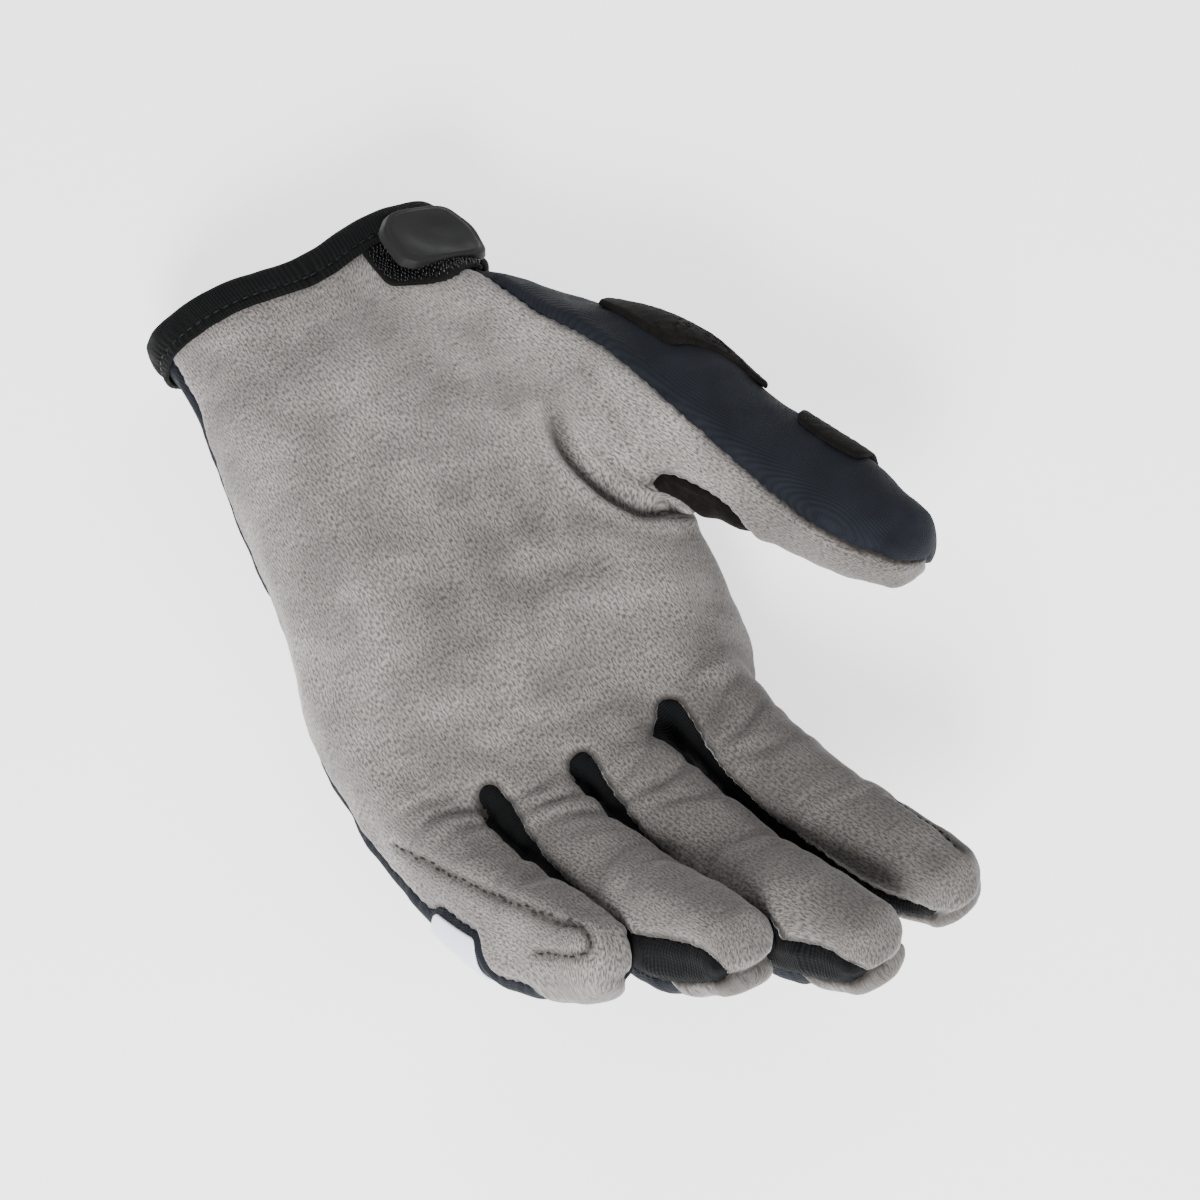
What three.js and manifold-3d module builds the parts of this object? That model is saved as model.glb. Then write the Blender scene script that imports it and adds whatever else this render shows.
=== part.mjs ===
// Motocross glove for the left hand, lying on its back with the palm up and the fingers half curled.
// Millimetres. +Z is up, +Y runs from the cuff to the fingertips, and the thumb is on the -X side.
// The origin is on the flat of the back of the hand, on the surface that the glove rests on.
import * as THREE from "three";
import Module from "manifold-3d";

const wasm = await Module();
wasm.setup();

// Driving dimensions of the hand
const PALM_LENGTH = 149; // from the rim of the cuff to the finger roots
const PALM_WIDTH = 99;
const PALM_DEPTH = 39;
const CUFF_TO_ORIGIN = 86; // how far the rim of the cuff lies behind the origin
const FINGER_WIDTH = 23;
const FINGER_DEPTH = 24;
const LITTLE_WIDTH = 22.4;
const THUMB_WIDTH = 36;
const THUMB_DEPTH = 36;
const INDEX_LENGTH = 114; // each length runs from the root row of the finger's table to its tip
const MIDDLE_LENGTH = 119;
const RING_LENGTH = 109;
const LITTLE_LENGTH = 98;
const THUMB_LENGTH = 126;
const FINGERTIP_DOME = 6;
const THUMB_DOME = 6.5;

// Cloth and seams
const WALL = 1.6; // palm suede and back fabric with their backing
const SEAM_GAP = 0.3; // between two panels, and between a layer and what it lies on
const SQUARENESS_FINGER = 2.7; // powers of the superellipse sections
const SQUARENESS_PALM = 2.6;
const CREASE_DEPTH = 3.2; // fold at the base of the thumb
const CREASE_WIDTH = 5;
const HOLLOW_DEPTH = 2.4; // dish in the middle of the palm
const HOLLOW_RADIUS = 26;
const KNUCKLE_FOLD_DEPTH = 0.9; // folds across the front of each finger
const GUSSET_TONGUE_WIDTH = 5.4; // dark tongue between two fingers, seen on the palm
const GUSSET_TONGUE_REACH = 7; // how far the tongue runs into the palm
const FORK_BACKSET = 1; // from the end of the palm back to the point where the fingers part

// Cuff, strap and patches
const BINDING_WIDTH = 8;
const BINDING_THICKNESS = 1.2;
const BINDING_LIP = 1.2; // binding beyond the edge of the cloth
const HOOK_PATCH_THICKNESS = 1.1;
const HOOK_PATCH_LENGTH = 25;
const HOOK_PATCH_WIDTH = 20;
const STRAP_THICKNESS = 1.3;
const STRAP_WIDTH = 17;
const TAB_THICKNESS = 2.8;
const TAB_LENGTH = 25;
const TAB_WIDTH = 17;
const SUEDE_PATCH_THICKNESS = 1.2;
const LABEL_THICKNESS = 1; // plain white patch on the back of the little finger

const SUEDE_GREY = 0x8f8a86;
const NAVY = 0x23262f;
const BLACK_RIB = 0x16181a;
const BLACK_SUEDE = 0x26241f;
const RUBBER_GREY = 0x3c3c3c;
const WHITE = 0xe9edf6;

// Palm sections from the rim to the finger roots. along is a share of PALM_LENGTH, centre and half
// are shares of PALM_WIDTH, floor and crown are shares of PALM_DEPTH.
const PALM_SECTIONS = [
  { along: 0.0, centre: -0.04, half: 0.374, floor: 0.141, crown: 0.846 },
  { along: 0.107, centre: -0.035, half: 0.374, floor: 0.131, crown: 0.897 },
  { along: 0.242, centre: -0.02, half: 0.399, floor: 0.066, crown: 0.974 },
  { along: 0.409, centre: -0.01, half: 0.444, floor: -0.031, crown: 1.0 },
  { along: 0.577, centre: 0.015, half: 0.47, floor: -0.038, crown: 0.949 },
  { along: 0.725, centre: 0.03, half: 0.5, floor: -0.031, crown: 0.872 },
  { along: 0.859, centre: 0.056, half: 0.49, floor: 0.013, crown: 0.795 },
  { along: 0.953, centre: 0.081, half: 0.46, floor: 0.077, crown: 0.744 },
  { along: 1.0, centre: 0.081, half: 0.384, floor: 0.179, crown: 0.641 },
];

// Finger sections from the root to the tip. along, side and rise are shares of the finger's length,
// width and depth are shares of its width and depth, roll is in degrees from +Z towards +X.
const FINGERS = {
  index: {
    length: INDEX_LENGTH,
    width: FINGER_WIDTH,
    depth: FINGER_DEPTH,
    dome: FINGERTIP_DOME,
    root: { along: 0.725, side: -0.237, rise: 0.385 },
    rows: [
      { along: 0.0, side: 0.0, rise: 0.0, width: 1.0, depth: 1.0, roll: 0 },
      { along: 0.211, side: 0.0, rise: 0.018, width: 1.0, depth: 0.96, roll: 0 },
      { along: 0.386, side: 0.007, rise: 0.061, width: 0.99, depth: 0.94, roll: 0 },
      { along: 0.561, side: 0.004, rise: 0.118, width: 0.98, depth: 0.93, roll: 0 },
      { along: 0.719, side: -0.02, rise: 0.175, width: 0.96, depth: 0.92, roll: -2 },
      { along: 0.851, side: -0.048, rise: 0.228, width: 0.91, depth: 0.87, roll: -4 },
      { along: 0.956, side: -0.083, rise: 0.272, width: 0.75, depth: 0.7, roll: -5 },
    ],
  },
  middle: {
    length: MIDDLE_LENGTH,
    width: FINGER_WIDTH,
    depth: FINGER_DEPTH,
    dome: FINGERTIP_DOME,
    root: { along: 0.725, side: 0.01, rise: 0.385 },
    rows: [
      { along: 0.0, side: 0.0, rise: 0.0, width: 1.0, depth: 1.0, roll: 0 },
      { along: 0.218, side: 0.004, rise: 0.017, width: 1.0, depth: 0.97, roll: 0 },
      { along: 0.387, side: 0.008, rise: 0.063, width: 1.0, depth: 1.0, roll: 0 },
      { along: 0.555, side: 0.003, rise: 0.122, width: 1.0, depth: 1.0, roll: -3 },
      { along: 0.714, side: -0.013, rise: 0.197, width: 0.99, depth: 1.0, roll: -6 },
      { along: 0.853, side: -0.038, rise: 0.286, width: 0.96, depth: 0.94, roll: -8 },
      { along: 0.958, side: -0.071, rise: 0.357, width: 0.78, depth: 0.78, roll: -8 },
    ],
  },
  ring: {
    length: RING_LENGTH,
    width: FINGER_WIDTH,
    depth: FINGER_DEPTH,
    dome: FINGERTIP_DOME,
    root: { along: 0.698, side: 0.242, rise: 0.385 },
    rows: [
      { along: 0.0, side: 0.0, rise: 0.0, width: 1.0, depth: 1.0, roll: 0 },
      { along: 0.239, side: 0.0, rise: 0.018, width: 0.99, depth: 0.97, roll: -3 },
      { along: 0.422, side: 0.005, rise: 0.06, width: 0.99, depth: 1.0, roll: -6 },
      { along: 0.596, side: -0.005, rise: 0.133, width: 0.99, depth: 1.0, roll: -10 },
      { along: 0.748, side: -0.023, rise: 0.225, width: 0.98, depth: 1.0, roll: -13 },
      { along: 0.872, side: -0.046, rise: 0.317, width: 0.96, depth: 0.94, roll: -15 },
      { along: 0.959, side: -0.072, rise: 0.394, width: 0.78, depth: 0.77, roll: -15 },
    ],
  },
  little: {
    length: LITTLE_LENGTH,
    width: LITTLE_WIDTH,
    depth: FINGER_DEPTH,
    dome: FINGERTIP_DOME,
    root: { along: 0.658, side: 0.449, rise: 0.359 },
    rows: [
      { along: -0.3, side: -0.14, rise: 0.02, width: 0.6, depth: 0.6, roll: 0 },
      { along: 0.0, side: -0.02, rise: 0.0, width: 0.9, depth: 0.96, roll: 0 },
      { along: 0.245, side: 0.01, rise: 0.02, width: 0.96, depth: 0.94, roll: -8 },
      { along: 0.429, side: 0.015, rise: 0.056, width: 0.98, depth: 0.98, roll: -15 },
      { along: 0.592, side: 0.01, rise: 0.112, width: 1.0, depth: 1.0, roll: -22 },
      { along: 0.745, side: -0.005, rise: 0.194, width: 1.0, depth: 1.0, roll: -27 },
      { along: 0.867, side: -0.026, rise: 0.286, width: 0.95, depth: 0.93, roll: -30 },
      { along: 0.954, side: -0.046, rise: 0.367, width: 0.77, depth: 0.75, roll: -30 },
    ],
  },
  thumb: {
    length: THUMB_LENGTH,
    width: THUMB_WIDTH,
    depth: THUMB_DEPTH,
    dome: THUMB_DOME,
    root: { along: 0.161, side: -0.202, rise: 0.513 },
    rows: [
      { along: 0.0, side: 0.0, rise: 0.0, width: 0.78, depth: 0.83, roll: 10 },
      { along: 0.175, side: -0.111, rise: 0.016, width: 1.0, depth: 1.0, roll: 25 },
      { along: 0.365, side: -0.214, rise: 0.04, width: 0.97, depth: 1.0, roll: 45 },
      { along: 0.556, side: -0.298, rise: 0.087, width: 0.81, depth: 0.83, roll: 70 },
      { along: 0.714, side: -0.357, rise: 0.123, width: 0.71, depth: 0.74, roll: 85 },
      { along: 0.857, side: -0.401, rise: 0.159, width: 0.67, depth: 0.66, roll: 95 },
      { along: 0.96, side: -0.429, rise: 0.183, width: 0.52, depth: 0.5, roll: 100 },
    ],
  },
};
const HAND = ["index", "middle", "ring", "little"];

// Seam between the palm and the back along the body of the hand. along is a share of PALM_LENGTH,
// thumbSide a share of PALM_WIDTH, and the two heights are shares of PALM_DEPTH.
const BACK_SEAM = [
  { along: -0.1, thumbSide: -0.37, thumbHeight: 0.48, littleHeight: 0.45 },
  { along: 0.19, thumbSide: -0.37, thumbHeight: 0.47, littleHeight: 0.45 },
  { along: 0.34, thumbSide: -0.41, thumbHeight: 0.44, littleHeight: 0.42 },
  { along: 0.43, thumbSide: -0.465, thumbHeight: 0.42, littleHeight: 0.4 },
  { along: 0.55, thumbSide: -0.5, thumbHeight: 0.38, littleHeight: 0.36 },
  { along: 0.64, thumbSide: -0.525, thumbHeight: 0.34, littleHeight: 0.34 },
  { along: 0.74, thumbSide: -0.6, thumbHeight: 0.34, littleHeight: 0.33 },
  { along: 0.99, thumbSide: -0.7, thumbHeight: 0.4, littleHeight: 0.37 },
];

// Seam along the thumb, as shares of the section's half depth. outer is the side away from the palm.
const THUMB_SEAM = [
  { share: 0.28, outer: 1.25, inner: -0.4 },
  { share: 0.35, outer: 1.16, inner: -0.5 },
  { share: 0.58, outer: 1.16, inner: -0.51 },
  { share: 0.75, outer: 1.52, inner: -0.6 },
  { share: 0.93, outer: 1.5, inner: -0.6 },
  { share: 0.98, outer: 1.2, inner: -0.8 },
  { share: 1.3, outer: 0.6, inner: -1.4 },
];

// Long folds of the palm, as points in shares of PALM_WIDTH across and PALM_LENGTH along.
const THUMB_CREASE = [
  { across: -0.3, along: 0.46 },
  { across: -0.275, along: 0.56 },
  { across: -0.285, along: 0.63 },
  { across: -0.33, along: 0.69 },
  { across: -0.42, along: 0.735 },
];

// Interpolates every column of a table with a Catmull-Rom curve through its rows.
function smoothRows(rows, steps) {
  const names = Object.keys(rows[0]);
  const at = (index, name) => {
    const last = rows.length - 1;
    if (index < 0) return 2 * rows[0][name] - rows[1][name];
    if (index > last) return 2 * rows[last][name] - rows[last - 1][name];
    return rows[index][name];
  };
  return Array.from({ length: steps }, (_, step) => {
    const place = (step / (steps - 1)) * (rows.length - 1);
    const index = Math.min(Math.floor(place), rows.length - 2);
    const f = place - index;
    const row = {};
    for (const name of names) {
      const [a, b, c, d] = [-1, 0, 1, 2].map((k) => at(index + k, name));
      row[name] =
        0.5 *
        (2 * b + (c - a) * f + (2 * a - 5 * b + 4 * c - d) * f ** 2 + (3 * b - a - 3 * c + d) * f ** 3);
    }
    return row;
  });
}

// Reads one column of a table at a value of another, in straight stretches.
function lookUp(rows, key, value, name) {
  if (value <= rows[0][key]) return rows[0][name];
  for (let i = 1; i < rows.length; i++) {
    if (value > rows[i][key]) continue;
    const f = (value - rows[i - 1][key]) / (rows[i][key] - rows[i - 1][key]);
    return rows[i - 1][name] + f * (rows[i][name] - rows[i - 1][name]);
  }
  return rows[rows.length - 1][name];
}

const signedPower = (value, power) => Math.sign(value) * Math.abs(value) ** power;
const alongPalm = (share) => share * PALM_LENGTH - CUFF_TO_ORIGIN;
const bell = (distance, width) => Math.exp(-((distance / width) ** 2));

// A closed solid from rings of equally many points, each end closed by a fan.
function loft(rings) {
  const count = rings[0].length;
  const points = rings.flat();
  const triangles = [];
  for (let r = 0; r + 1 < rings.length; r++)
    for (let i = 0; i < count; i++) {
      const [a, b] = [r * count + i, r * count + ((i + 1) % count)];
      triangles.push(a, b, b + count, a, b + count, a + count);
    }
  const closeEnd = (first, turn) => {
    const middle = new THREE.Vector3();
    for (let i = 0; i < count; i++) middle.addScaledVector(points[first + i], 1 / count);
    points.push(middle);
    for (let i = 0; i < count; i++) {
      const [a, b] = [first + i, first + ((i + 1) % count)];
      triangles.push(...(turn ? [b, a] : [a, b]), points.length - 1);
    }
  };
  closeEnd(0, true);
  closeEnd((rings.length - 1) * count, false);
  return solidFrom(points, triangles);
}

// A closed solid from points and triangles, turned so that its faces point outwards.
function solidFrom(points, triangles) {
  const vertProperties = new Float32Array(points.flatMap((p) => [p.x, p.y, p.z]));
  const made = new wasm.Manifold(
    new wasm.Mesh({ numProp: 3, vertProperties, triVerts: new Uint32Array(triangles) }),
  );
  if (made.volume() >= 0) return made;
  for (let i = 0; i < triangles.length; i += 3)
    [triangles[i + 1], triangles[i + 2]] = [triangles[i + 2], triangles[i + 1]];
  return new wasm.Manifold(
    new wasm.Mesh({ numProp: 3, vertProperties, triVerts: new Uint32Array(triangles) }),
  );
}

// Joins or cuts lists of solids.
const join = (solids) => solids.reduce((sum, solid) => sum.add(solid));
const box = (low, high) =>
  loft(
    [low.y, high.y].map((y) => [
      new THREE.Vector3(low.x, y, low.z),
      new THREE.Vector3(high.x, y, low.z),
      new THREE.Vector3(high.x, y, high.z),
      new THREE.Vector3(low.x, y, high.z),
    ]),
  );

// The largest body of a solid, without the crumbs that a cut leaves.
function largest(solid) {
  return solid.decompose().reduce((best, body) => (body.volume() > best.volume() ? body : best));
}

// Frames along a finger: centre, tangent, side and face directions and half sizes.
function fingerSections(finger, steps) {
  const rows = smoothRows(finger.rows, steps);
  const centres = rows.map(
    (row) =>
      new THREE.Vector3(
        finger.root.side * PALM_WIDTH + row.side * finger.length,
        alongPalm(finger.root.along) + row.along * finger.length,
        finger.root.rise * PALM_DEPTH + row.rise * finger.length,
      ),
  );
  return rows.map((row, i) => {
    const before = centres[Math.max(i - 1, 0)];
    const after = centres[Math.min(i + 1, steps - 1)];
    const tangent = after.clone().sub(before).normalize();
    const across = new THREE.Vector3(1, 0, 0);
    across.addScaledVector(tangent, -across.dot(tangent)).normalize();
    const turn = THREE.MathUtils.degToRad(row.roll);
    return {
      share: row.along,
      centre: centres[i],
      tangent,
      side: across.clone().applyAxisAngle(tangent, turn),
      face: across.clone().cross(tangent).applyAxisAngle(tangent, turn),
      halfWidth: (row.width * finger.width) / 2,
      halfDepth: (row.depth * finger.depth) / 2,
    };
  });
}

// A point of a section, across and up from its centre in millimetres.
const inSection = (section, across, up) =>
  section.centre.clone().addScaledVector(section.side, across).addScaledVector(section.face, up);

// A finger as a rounded tube with a domed tip. A positive inset makes it smaller all round.
function fingerSolid(finger, inset, steps, sides) {
  const sections = fingerSections(finger, steps);
  const ring = (section, shrink, forward) =>
    Array.from({ length: sides }, (_, i) => {
      const angle = (2 * Math.PI * i) / sides;
      const across = signedPower(Math.cos(angle), 2 / SQUARENESS_FINGER);
      const up = signedPower(Math.sin(angle), 2 / SQUARENESS_FINGER);
      const folds = KNUCKLE_FOLDS.reduce((sum, at) => sum + bell(section.share - at, FOLD_SPREAD), 0);
      const fold = up > 0 && inset < WALL ? KNUCKLE_FOLD_DEPTH * folds * up : 0;
      return inSection(
        section,
        across * (section.halfWidth - inset) * shrink,
        up * (section.halfDepth - inset - fold) * shrink,
      ).addScaledVector(section.tangent, forward);
    });
  const tip = sections[steps - 1];
  const dome = DOME_STEPS.map((step) =>
    ring(tip, Math.sqrt(1 - step ** 2), step * (finger.dome - inset)),
  );
  return loft([...sections.map((section) => ring(section, 1, 0)), ...dome]);
}
const DOME_STEPS = [0.45, 0.78, 0.96];
const KNUCKLE_FOLDS = [0.5, 0.74]; // shares of the finger's length
const FOLD_SPREAD = 0.05;

// How far the palm's surface sinks at a place: the fold round the thumb's base and the hollow.
function palmDent(x, y) {
  const crease = smoothRows(THUMB_CREASE, 17).map((row) => [row.across * PALM_WIDTH, alongPalm(row.along)]);
  const nearest = Math.min(...crease.map(([cx, cy]) => Math.hypot(x - cx, y - cy)));
  const hollow = Math.hypot(x - HOLLOW_PLACE.across * PALM_WIDTH, y - alongPalm(HOLLOW_PLACE.along));
  return CREASE_DEPTH * bell(nearest, CREASE_WIDTH) + HOLLOW_DEPTH * bell(hollow, HOLLOW_RADIUS);
}
const HOLLOW_PLACE = { across: 0.08, along: 0.6 };

// How far the rim of the cuff is cut back at a place across the wrist, on its palm side.
const rimCut = (x, up) => RIM_SLANT * x + (up > 0 ? RIM_DIP * bell(x - RIM_DIP_PLACE, RIM_DIP_SPREAD) * up : 0);
const RIM_SLANT = -0.06;
const RIM_DIP = 3.5;
const RIM_DIP_PLACE = -4;
const RIM_DIP_SPREAD = 13;

// One point of the palm's surface at a row of its table, an angle round it and an inset.
function palmPoint(row, angle, inset) {
  const across = signedPower(Math.cos(angle), 2 / SQUARENESS_PALM);
  const up = signedPower(Math.sin(angle), 2 / SQUARENESS_PALM);
  const x = row.centre * PALM_WIDTH + across * (row.half * PALM_WIDTH - inset);
  const y = alongPalm(row.along) - row.along * Math.max(inset, 0) + (1 - row.along) ** 3 * rimCut(x, up);
  const [floor, crown] = [row.floor * PALM_DEPTH, row.crown * PALM_DEPTH];
  const z = (floor + crown) / 2 + up * ((crown - floor) / 2 - inset);
  return new THREE.Vector3(x, y, up > 0 ? z - palmDent(x, y) * up : z);
}

// The body of the hand. lead carries its first ring on past the rim.
function palmSolid(inset, steps, sides, lead) {
  const rows = smoothRows(PALM_SECTIONS, steps);
  const ring = (row, shift) =>
    Array.from({ length: sides }, (_, i) =>
      palmPoint(row, (2 * Math.PI * i) / sides, inset).add(new THREE.Vector3(0, -shift, 0)),
    );
  return loft([...(lead ? [ring(rows[0], lead)] : []), ...rows.map((row) => ring(row, 0))]);
}

// The whole hand at an inset, with the flat that it rests on.
function handSolid(inset, coarse, lead) {
  const fine = coarse ? COARSE : FINE;
  const tubes = HAND.map((name) => fingerSolid(FINGERS[name], inset, ...fine.finger));
  const thumb = fingerSolid(FINGERS.thumb, inset, ...fine.thumb);
  const whole = join([palmSolid(inset, ...fine.palm, lead), ...tubes, thumb]);
  return whole.intersect(
    box(new THREE.Vector3(-SPACE, -SPACE, inset), new THREE.Vector3(SPACE, SPACE, SPACE)),
  );
}
// Rings along each tube and points round it, for the surface and for the hollow.
const FINE = { finger: [8, 12], thumb: [8, 14], palm: [11, 24] };
const COARSE = { finger: [6, 8], thumb: [7, 10], palm: [7, 16] };
const SPACE = 4 * PALM_LENGTH; // larger than anything in the model
const CUFF_LEAD = 12; // the hollow runs this far out of the rim

// A band that follows a finger. limits gives the four corners of its section, across and up.
function fingerBand(sections, limits) {
  return loft(sections.map((section) => limits(section).map(([across, up]) => inSection(section, across, up))));
}

// Sections of a finger at even steps between two shares of its length, which may lie beyond its tip.
function stations(finger, from, to, count) {
  const sections = fingerSections(finger, 16);
  const last = sections.length - 1;
  return Array.from({ length: count }, (_, step) => {
    const share = from + ((to - from) * step) / (count - 1);
    const found = sections.findIndex((section) => section.share > share);
    const index = found < 0 ? last - 1 : Math.max(found - 1, 0);
    const [a, b] = [sections[index], sections[index + 1]];
    const f = (share - a.share) / (b.share - a.share);
    const mix = THREE.MathUtils.clamp(f, 0, 1);
    return {
      share,
      centre: a.centre.clone().lerp(b.centre, f),
      tangent: a.tangent.clone().lerp(b.tangent, mix).normalize(),
      side: a.side.clone().lerp(b.side, mix).normalize(),
      face: a.face.clone().lerp(b.face, mix).normalize(),
      halfWidth: THREE.MathUtils.lerp(a.halfWidth, b.halfWidth, mix),
      halfDepth: THREE.MathUtils.lerp(a.halfDepth, b.halfDepth, mix),
    };
  });
}
// The same sections with one more at each end, a little further out.
function lengthened(sections, distance) {
  if (!distance) return sections;
  const shifted = (section, by) => ({
    ...section,
    centre: section.centre.clone().addScaledVector(section.tangent, by),
  });
  return [shifted(sections[0], -distance), ...sections, shifted(sections[sections.length - 1], distance)];
}
const BEYOND_TIP = 1.12; // share of the length that clears the domed tip

// Share of its full height that a gusset has, from the fork to the point near the fingertip.
function gussetTaper(share) {
  const run = Math.max(0, (share - GUSSET_TAPER_FROM) / (GUSSET_END - GUSSET_TAPER_FROM));
  return Math.sqrt(Math.max(0, 1 - Math.min(1, run) ** 2));
}
const GUSSET_TAPER_FROM = 0.86;
const GUSSET_END = 1.0;
const GUSSET_TOP = [
  { share: 0.3, height: 0.8 },
  { share: 0.45, height: 0.7 },
  { share: 0.6, height: 0.55 },
  { share: 0.75, height: 0.4 },
  { share: 0.86, height: 0.28 },
  { share: 1.0, height: 0.25 },
]; // heights as shares of the finger's half depth
const GUSSET_BOTTOM = -0.55;
const GUSSET_POINT = -0.1; // where the gusset comes to its point at the fingertip

// The side strip of one finger that a gusset fills. side is 1 towards the little finger.
function gussetStrip(finger, side, grow) {
  const fork = (alongPalm(1) - FORK_BACKSET - alongPalm(finger.root.along)) / finger.length;
  const sections = stations(finger, fork - STRIP_LEAD, GUSSET_END, 9);
  return fingerBand(lengthened(sections, grow), (section) => {
    const tall = Math.max(gussetTaper(section.share), 0.02);
    const edge = (height) => section.halfDepth * THREE.MathUtils.lerp(GUSSET_POINT, height, tall);
    const low = edge(GUSSET_BOTTOM) - grow;
    const high = edge(lookUp(GUSSET_TOP, "share", section.share, "height")) + grow;
    const near = side * (0.3 * section.halfWidth - grow);
    const far = side * (1.5 * section.halfWidth + grow);
    return [[near, low], [far, low], [far, high], [near, high]];
  });
}
const STRIP_LEAD = 0.04; // share of the finger's length that a strip starts before the fork

// The tongue of a gusset that shows on the palm between two finger roots.
function gussetTongue(first, second, grow) {
  const fork = alongPalm(1) - FORK_BACKSET;
  const middle =
    ((first.root.side + second.root.side) * PALM_WIDTH) / 2 + TONGUE_LEAN * (first.length + second.length);
  const radius = GUSSET_TONGUE_WIDTH / 2 + grow;
  const start = fork - GUSSET_TONGUE_REACH + GUSSET_TONGUE_WIDTH / 2;
  const outline = new THREE.Shape();
  outline.moveTo(middle + radius, fork + 2 * GUSSET_TONGUE_WIDTH);
  outline.lineTo(middle - radius, fork + 2 * GUSSET_TONGUE_WIDTH);
  outline.lineTo(middle - radius, start);
  outline.absarc(middle, start, radius, Math.PI, 2 * Math.PI, false);
  const bottom = 0.3 * PALM_DEPTH;
  return prism(outline, bottom - grow, SPACE);
}
const TONGUE_LEAN = 0.004;

// A column over an outline in a plane, between two heights along the plane's normal.
function prism(outline, low, high, place = new THREE.Matrix4()) {
  const points = outline.getPoints(3);
  if (points[0].distanceTo(points[points.length - 1]) < 1e-6) points.pop();
  if (THREE.ShapeUtils.area(points) < 0) points.reverse();
  const at = (z) => points.map((p) => new THREE.Vector3(p.x, p.y, z).applyMatrix4(place));
  const count = points.length;
  const triangles = [];
  for (const [a, b, c] of THREE.ShapeUtils.triangulateShape(points, [])) {
    triangles.push(c, b, a, a + count, b + count, c + count);
  }
  for (let i = 0; i < count; i++) {
    const next = (i + 1) % count;
    triangles.push(i, next, next + count, i, next + count, i + count);
  }
  return solidFrom([...at(low), ...at(high)], triangles);
}

// Everything on the palm side of the seam that joins the palm to the back.
function palmSide(grow) {
  const sections = [...BACK_SEAM].map((row) => {
    const y = alongPalm(row.along);
    const thumbSide = row.thumbSide * PALM_WIDTH - grow;
    const [near, far] = [row.thumbHeight * PALM_DEPTH - grow, row.littleHeight * PALM_DEPTH - grow];
    return [
      new THREE.Vector3(thumbSide, y, near),
      new THREE.Vector3(PALM_WIDTH, y, far),
      new THREE.Vector3(PALM_WIDTH, y, SPACE),
      new THREE.Vector3(thumbSide, y, SPACE),
    ];
  });
  const thumb = fingerBand(
    stations(FINGERS.thumb, THUMB_SEAM[0].share, BEYOND_TIP, 9),
    (section) => {
      const reach = 1.6 * section.halfWidth;
      const read = (name) => lookUp(THUMB_SEAM, "share", section.share, name) * section.halfDepth - grow;
      const top = 2.2 * section.halfDepth;
      return [[-reach, read("outer")], [reach, read("inner")], [reach, top], [-reach, top]];
    },
  );
  const fingers = HAND.map((name) =>
    fingerBand(palmFaceStations(FINGERS[name]), (section) => {
      const reach = 1.08 * section.halfWidth;
      const wrap = THREE.MathUtils.smoothstep(section.share, TIP_WRAP - 0.02, TIP_WRAP + 0.02);
      const low = section.halfDepth * THREE.MathUtils.lerp(FINGER_SEAM, -1.3, wrap) - grow;
      const top = 1.5 * section.halfDepth;
      return [[-reach, low], [reach, low], [reach, top], [-reach, top]];
    }),
  );
  return join([loft(sections), thumb, ...fingers]);
}
// Few sections along the finger and two close together where the suede starts to wrap the tip.
const palmFaceStations = (finger) => [
  ...stations(finger, 0.2, TIP_WRAP - 0.02, 7),
  ...stations(finger, TIP_WRAP + 0.02, BEYOND_TIP, 3),
];
const FINGER_SEAM = -0.3; // share of the half depth at which palm and back meet on an outer side
const TIP_WRAP = 0.87; // share of the length from which the palm's suede wraps the fingertip

// The dark gusset in the fork between thumb and palm, as a rounded lump that cuts it out of the cloth.
function thumbGussetRegion(grow) {
  const rows = THUMB_GUSSET.map((row) => {
    const centre = new THREE.Vector3(row.across * PALM_WIDTH, alongPalm(row.along), row.height * PALM_DEPTH);
    const radius = row.radius + grow;
    return Array.from({ length: 12 }, (_, i) => {
      const angle = (Math.PI * i) / 6;
      return centre
        .clone()
        .add(new THREE.Vector3(Math.cos(angle) * radius, 0, Math.sin(angle) * radius * 1.6));
    });
  });
  return loft(rows);
}
const THUMB_GUSSET = [
  { across: -0.455, along: 0.655, height: 0.82, radius: 1 },
  { across: -0.462, along: 0.675, height: 0.8, radius: 3.4 },
  { across: -0.475, along: 0.705, height: 0.76, radius: 4.4 },
  { across: -0.5, along: 0.75, height: 0.75, radius: 4.4 },
  { across: -0.525, along: 0.79, height: 0.8, radius: 2.6 },
  { across: -0.54, along: 0.815, height: 0.82, radius: 0.8 },
];

// A thin blade that opens the seam of a dart along one side of a finger.
function dart(finger, side, from, to, height) {
  return fingerBand(stations(finger, from, to, 6), (section) => {
    const middle = height * section.halfDepth;
    const [near, far] = [side * 0.3 * section.halfWidth, side * 1.5 * section.halfWidth];
    const half = SEAM_GAP / 2;
    return [[near, middle - half], [far, middle - half], [far, middle + half], [near, middle + half]];
  });
}

// Rounded outline through corners given across and along, in millimetres from a middle point.
function roundedOutline(corners, radius) {
  const shape = new THREE.Shape();
  corners.forEach((corner, i) => {
    const before = corners[(i + corners.length - 1) % corners.length];
    const after = corners[(i + 1) % corners.length];
    const into = corner.clone().sub(before);
    const out = after.clone().sub(corner);
    const room = Math.min(radius, into.length() / 2.2, out.length() / 2.2);
    const start = corner.clone().addScaledVector(into.normalize(), -room);
    const end = corner.clone().addScaledVector(out.normalize(), room);
    if (i === 0) shape.moveTo(start.x, start.y);
    else shape.lineTo(start.x, start.y);
    shape.quadraticCurveTo(corner.x, corner.y, end.x, end.y);
  });
  return shape;
}

// A layer of cloth or rubber over the hand: from one height above its surface to another, within a column.
const layer = (column, low, high) => handSolid(-high, false, 0).intersect(column).subtract(handSolid(-low, false, 0));

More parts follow.
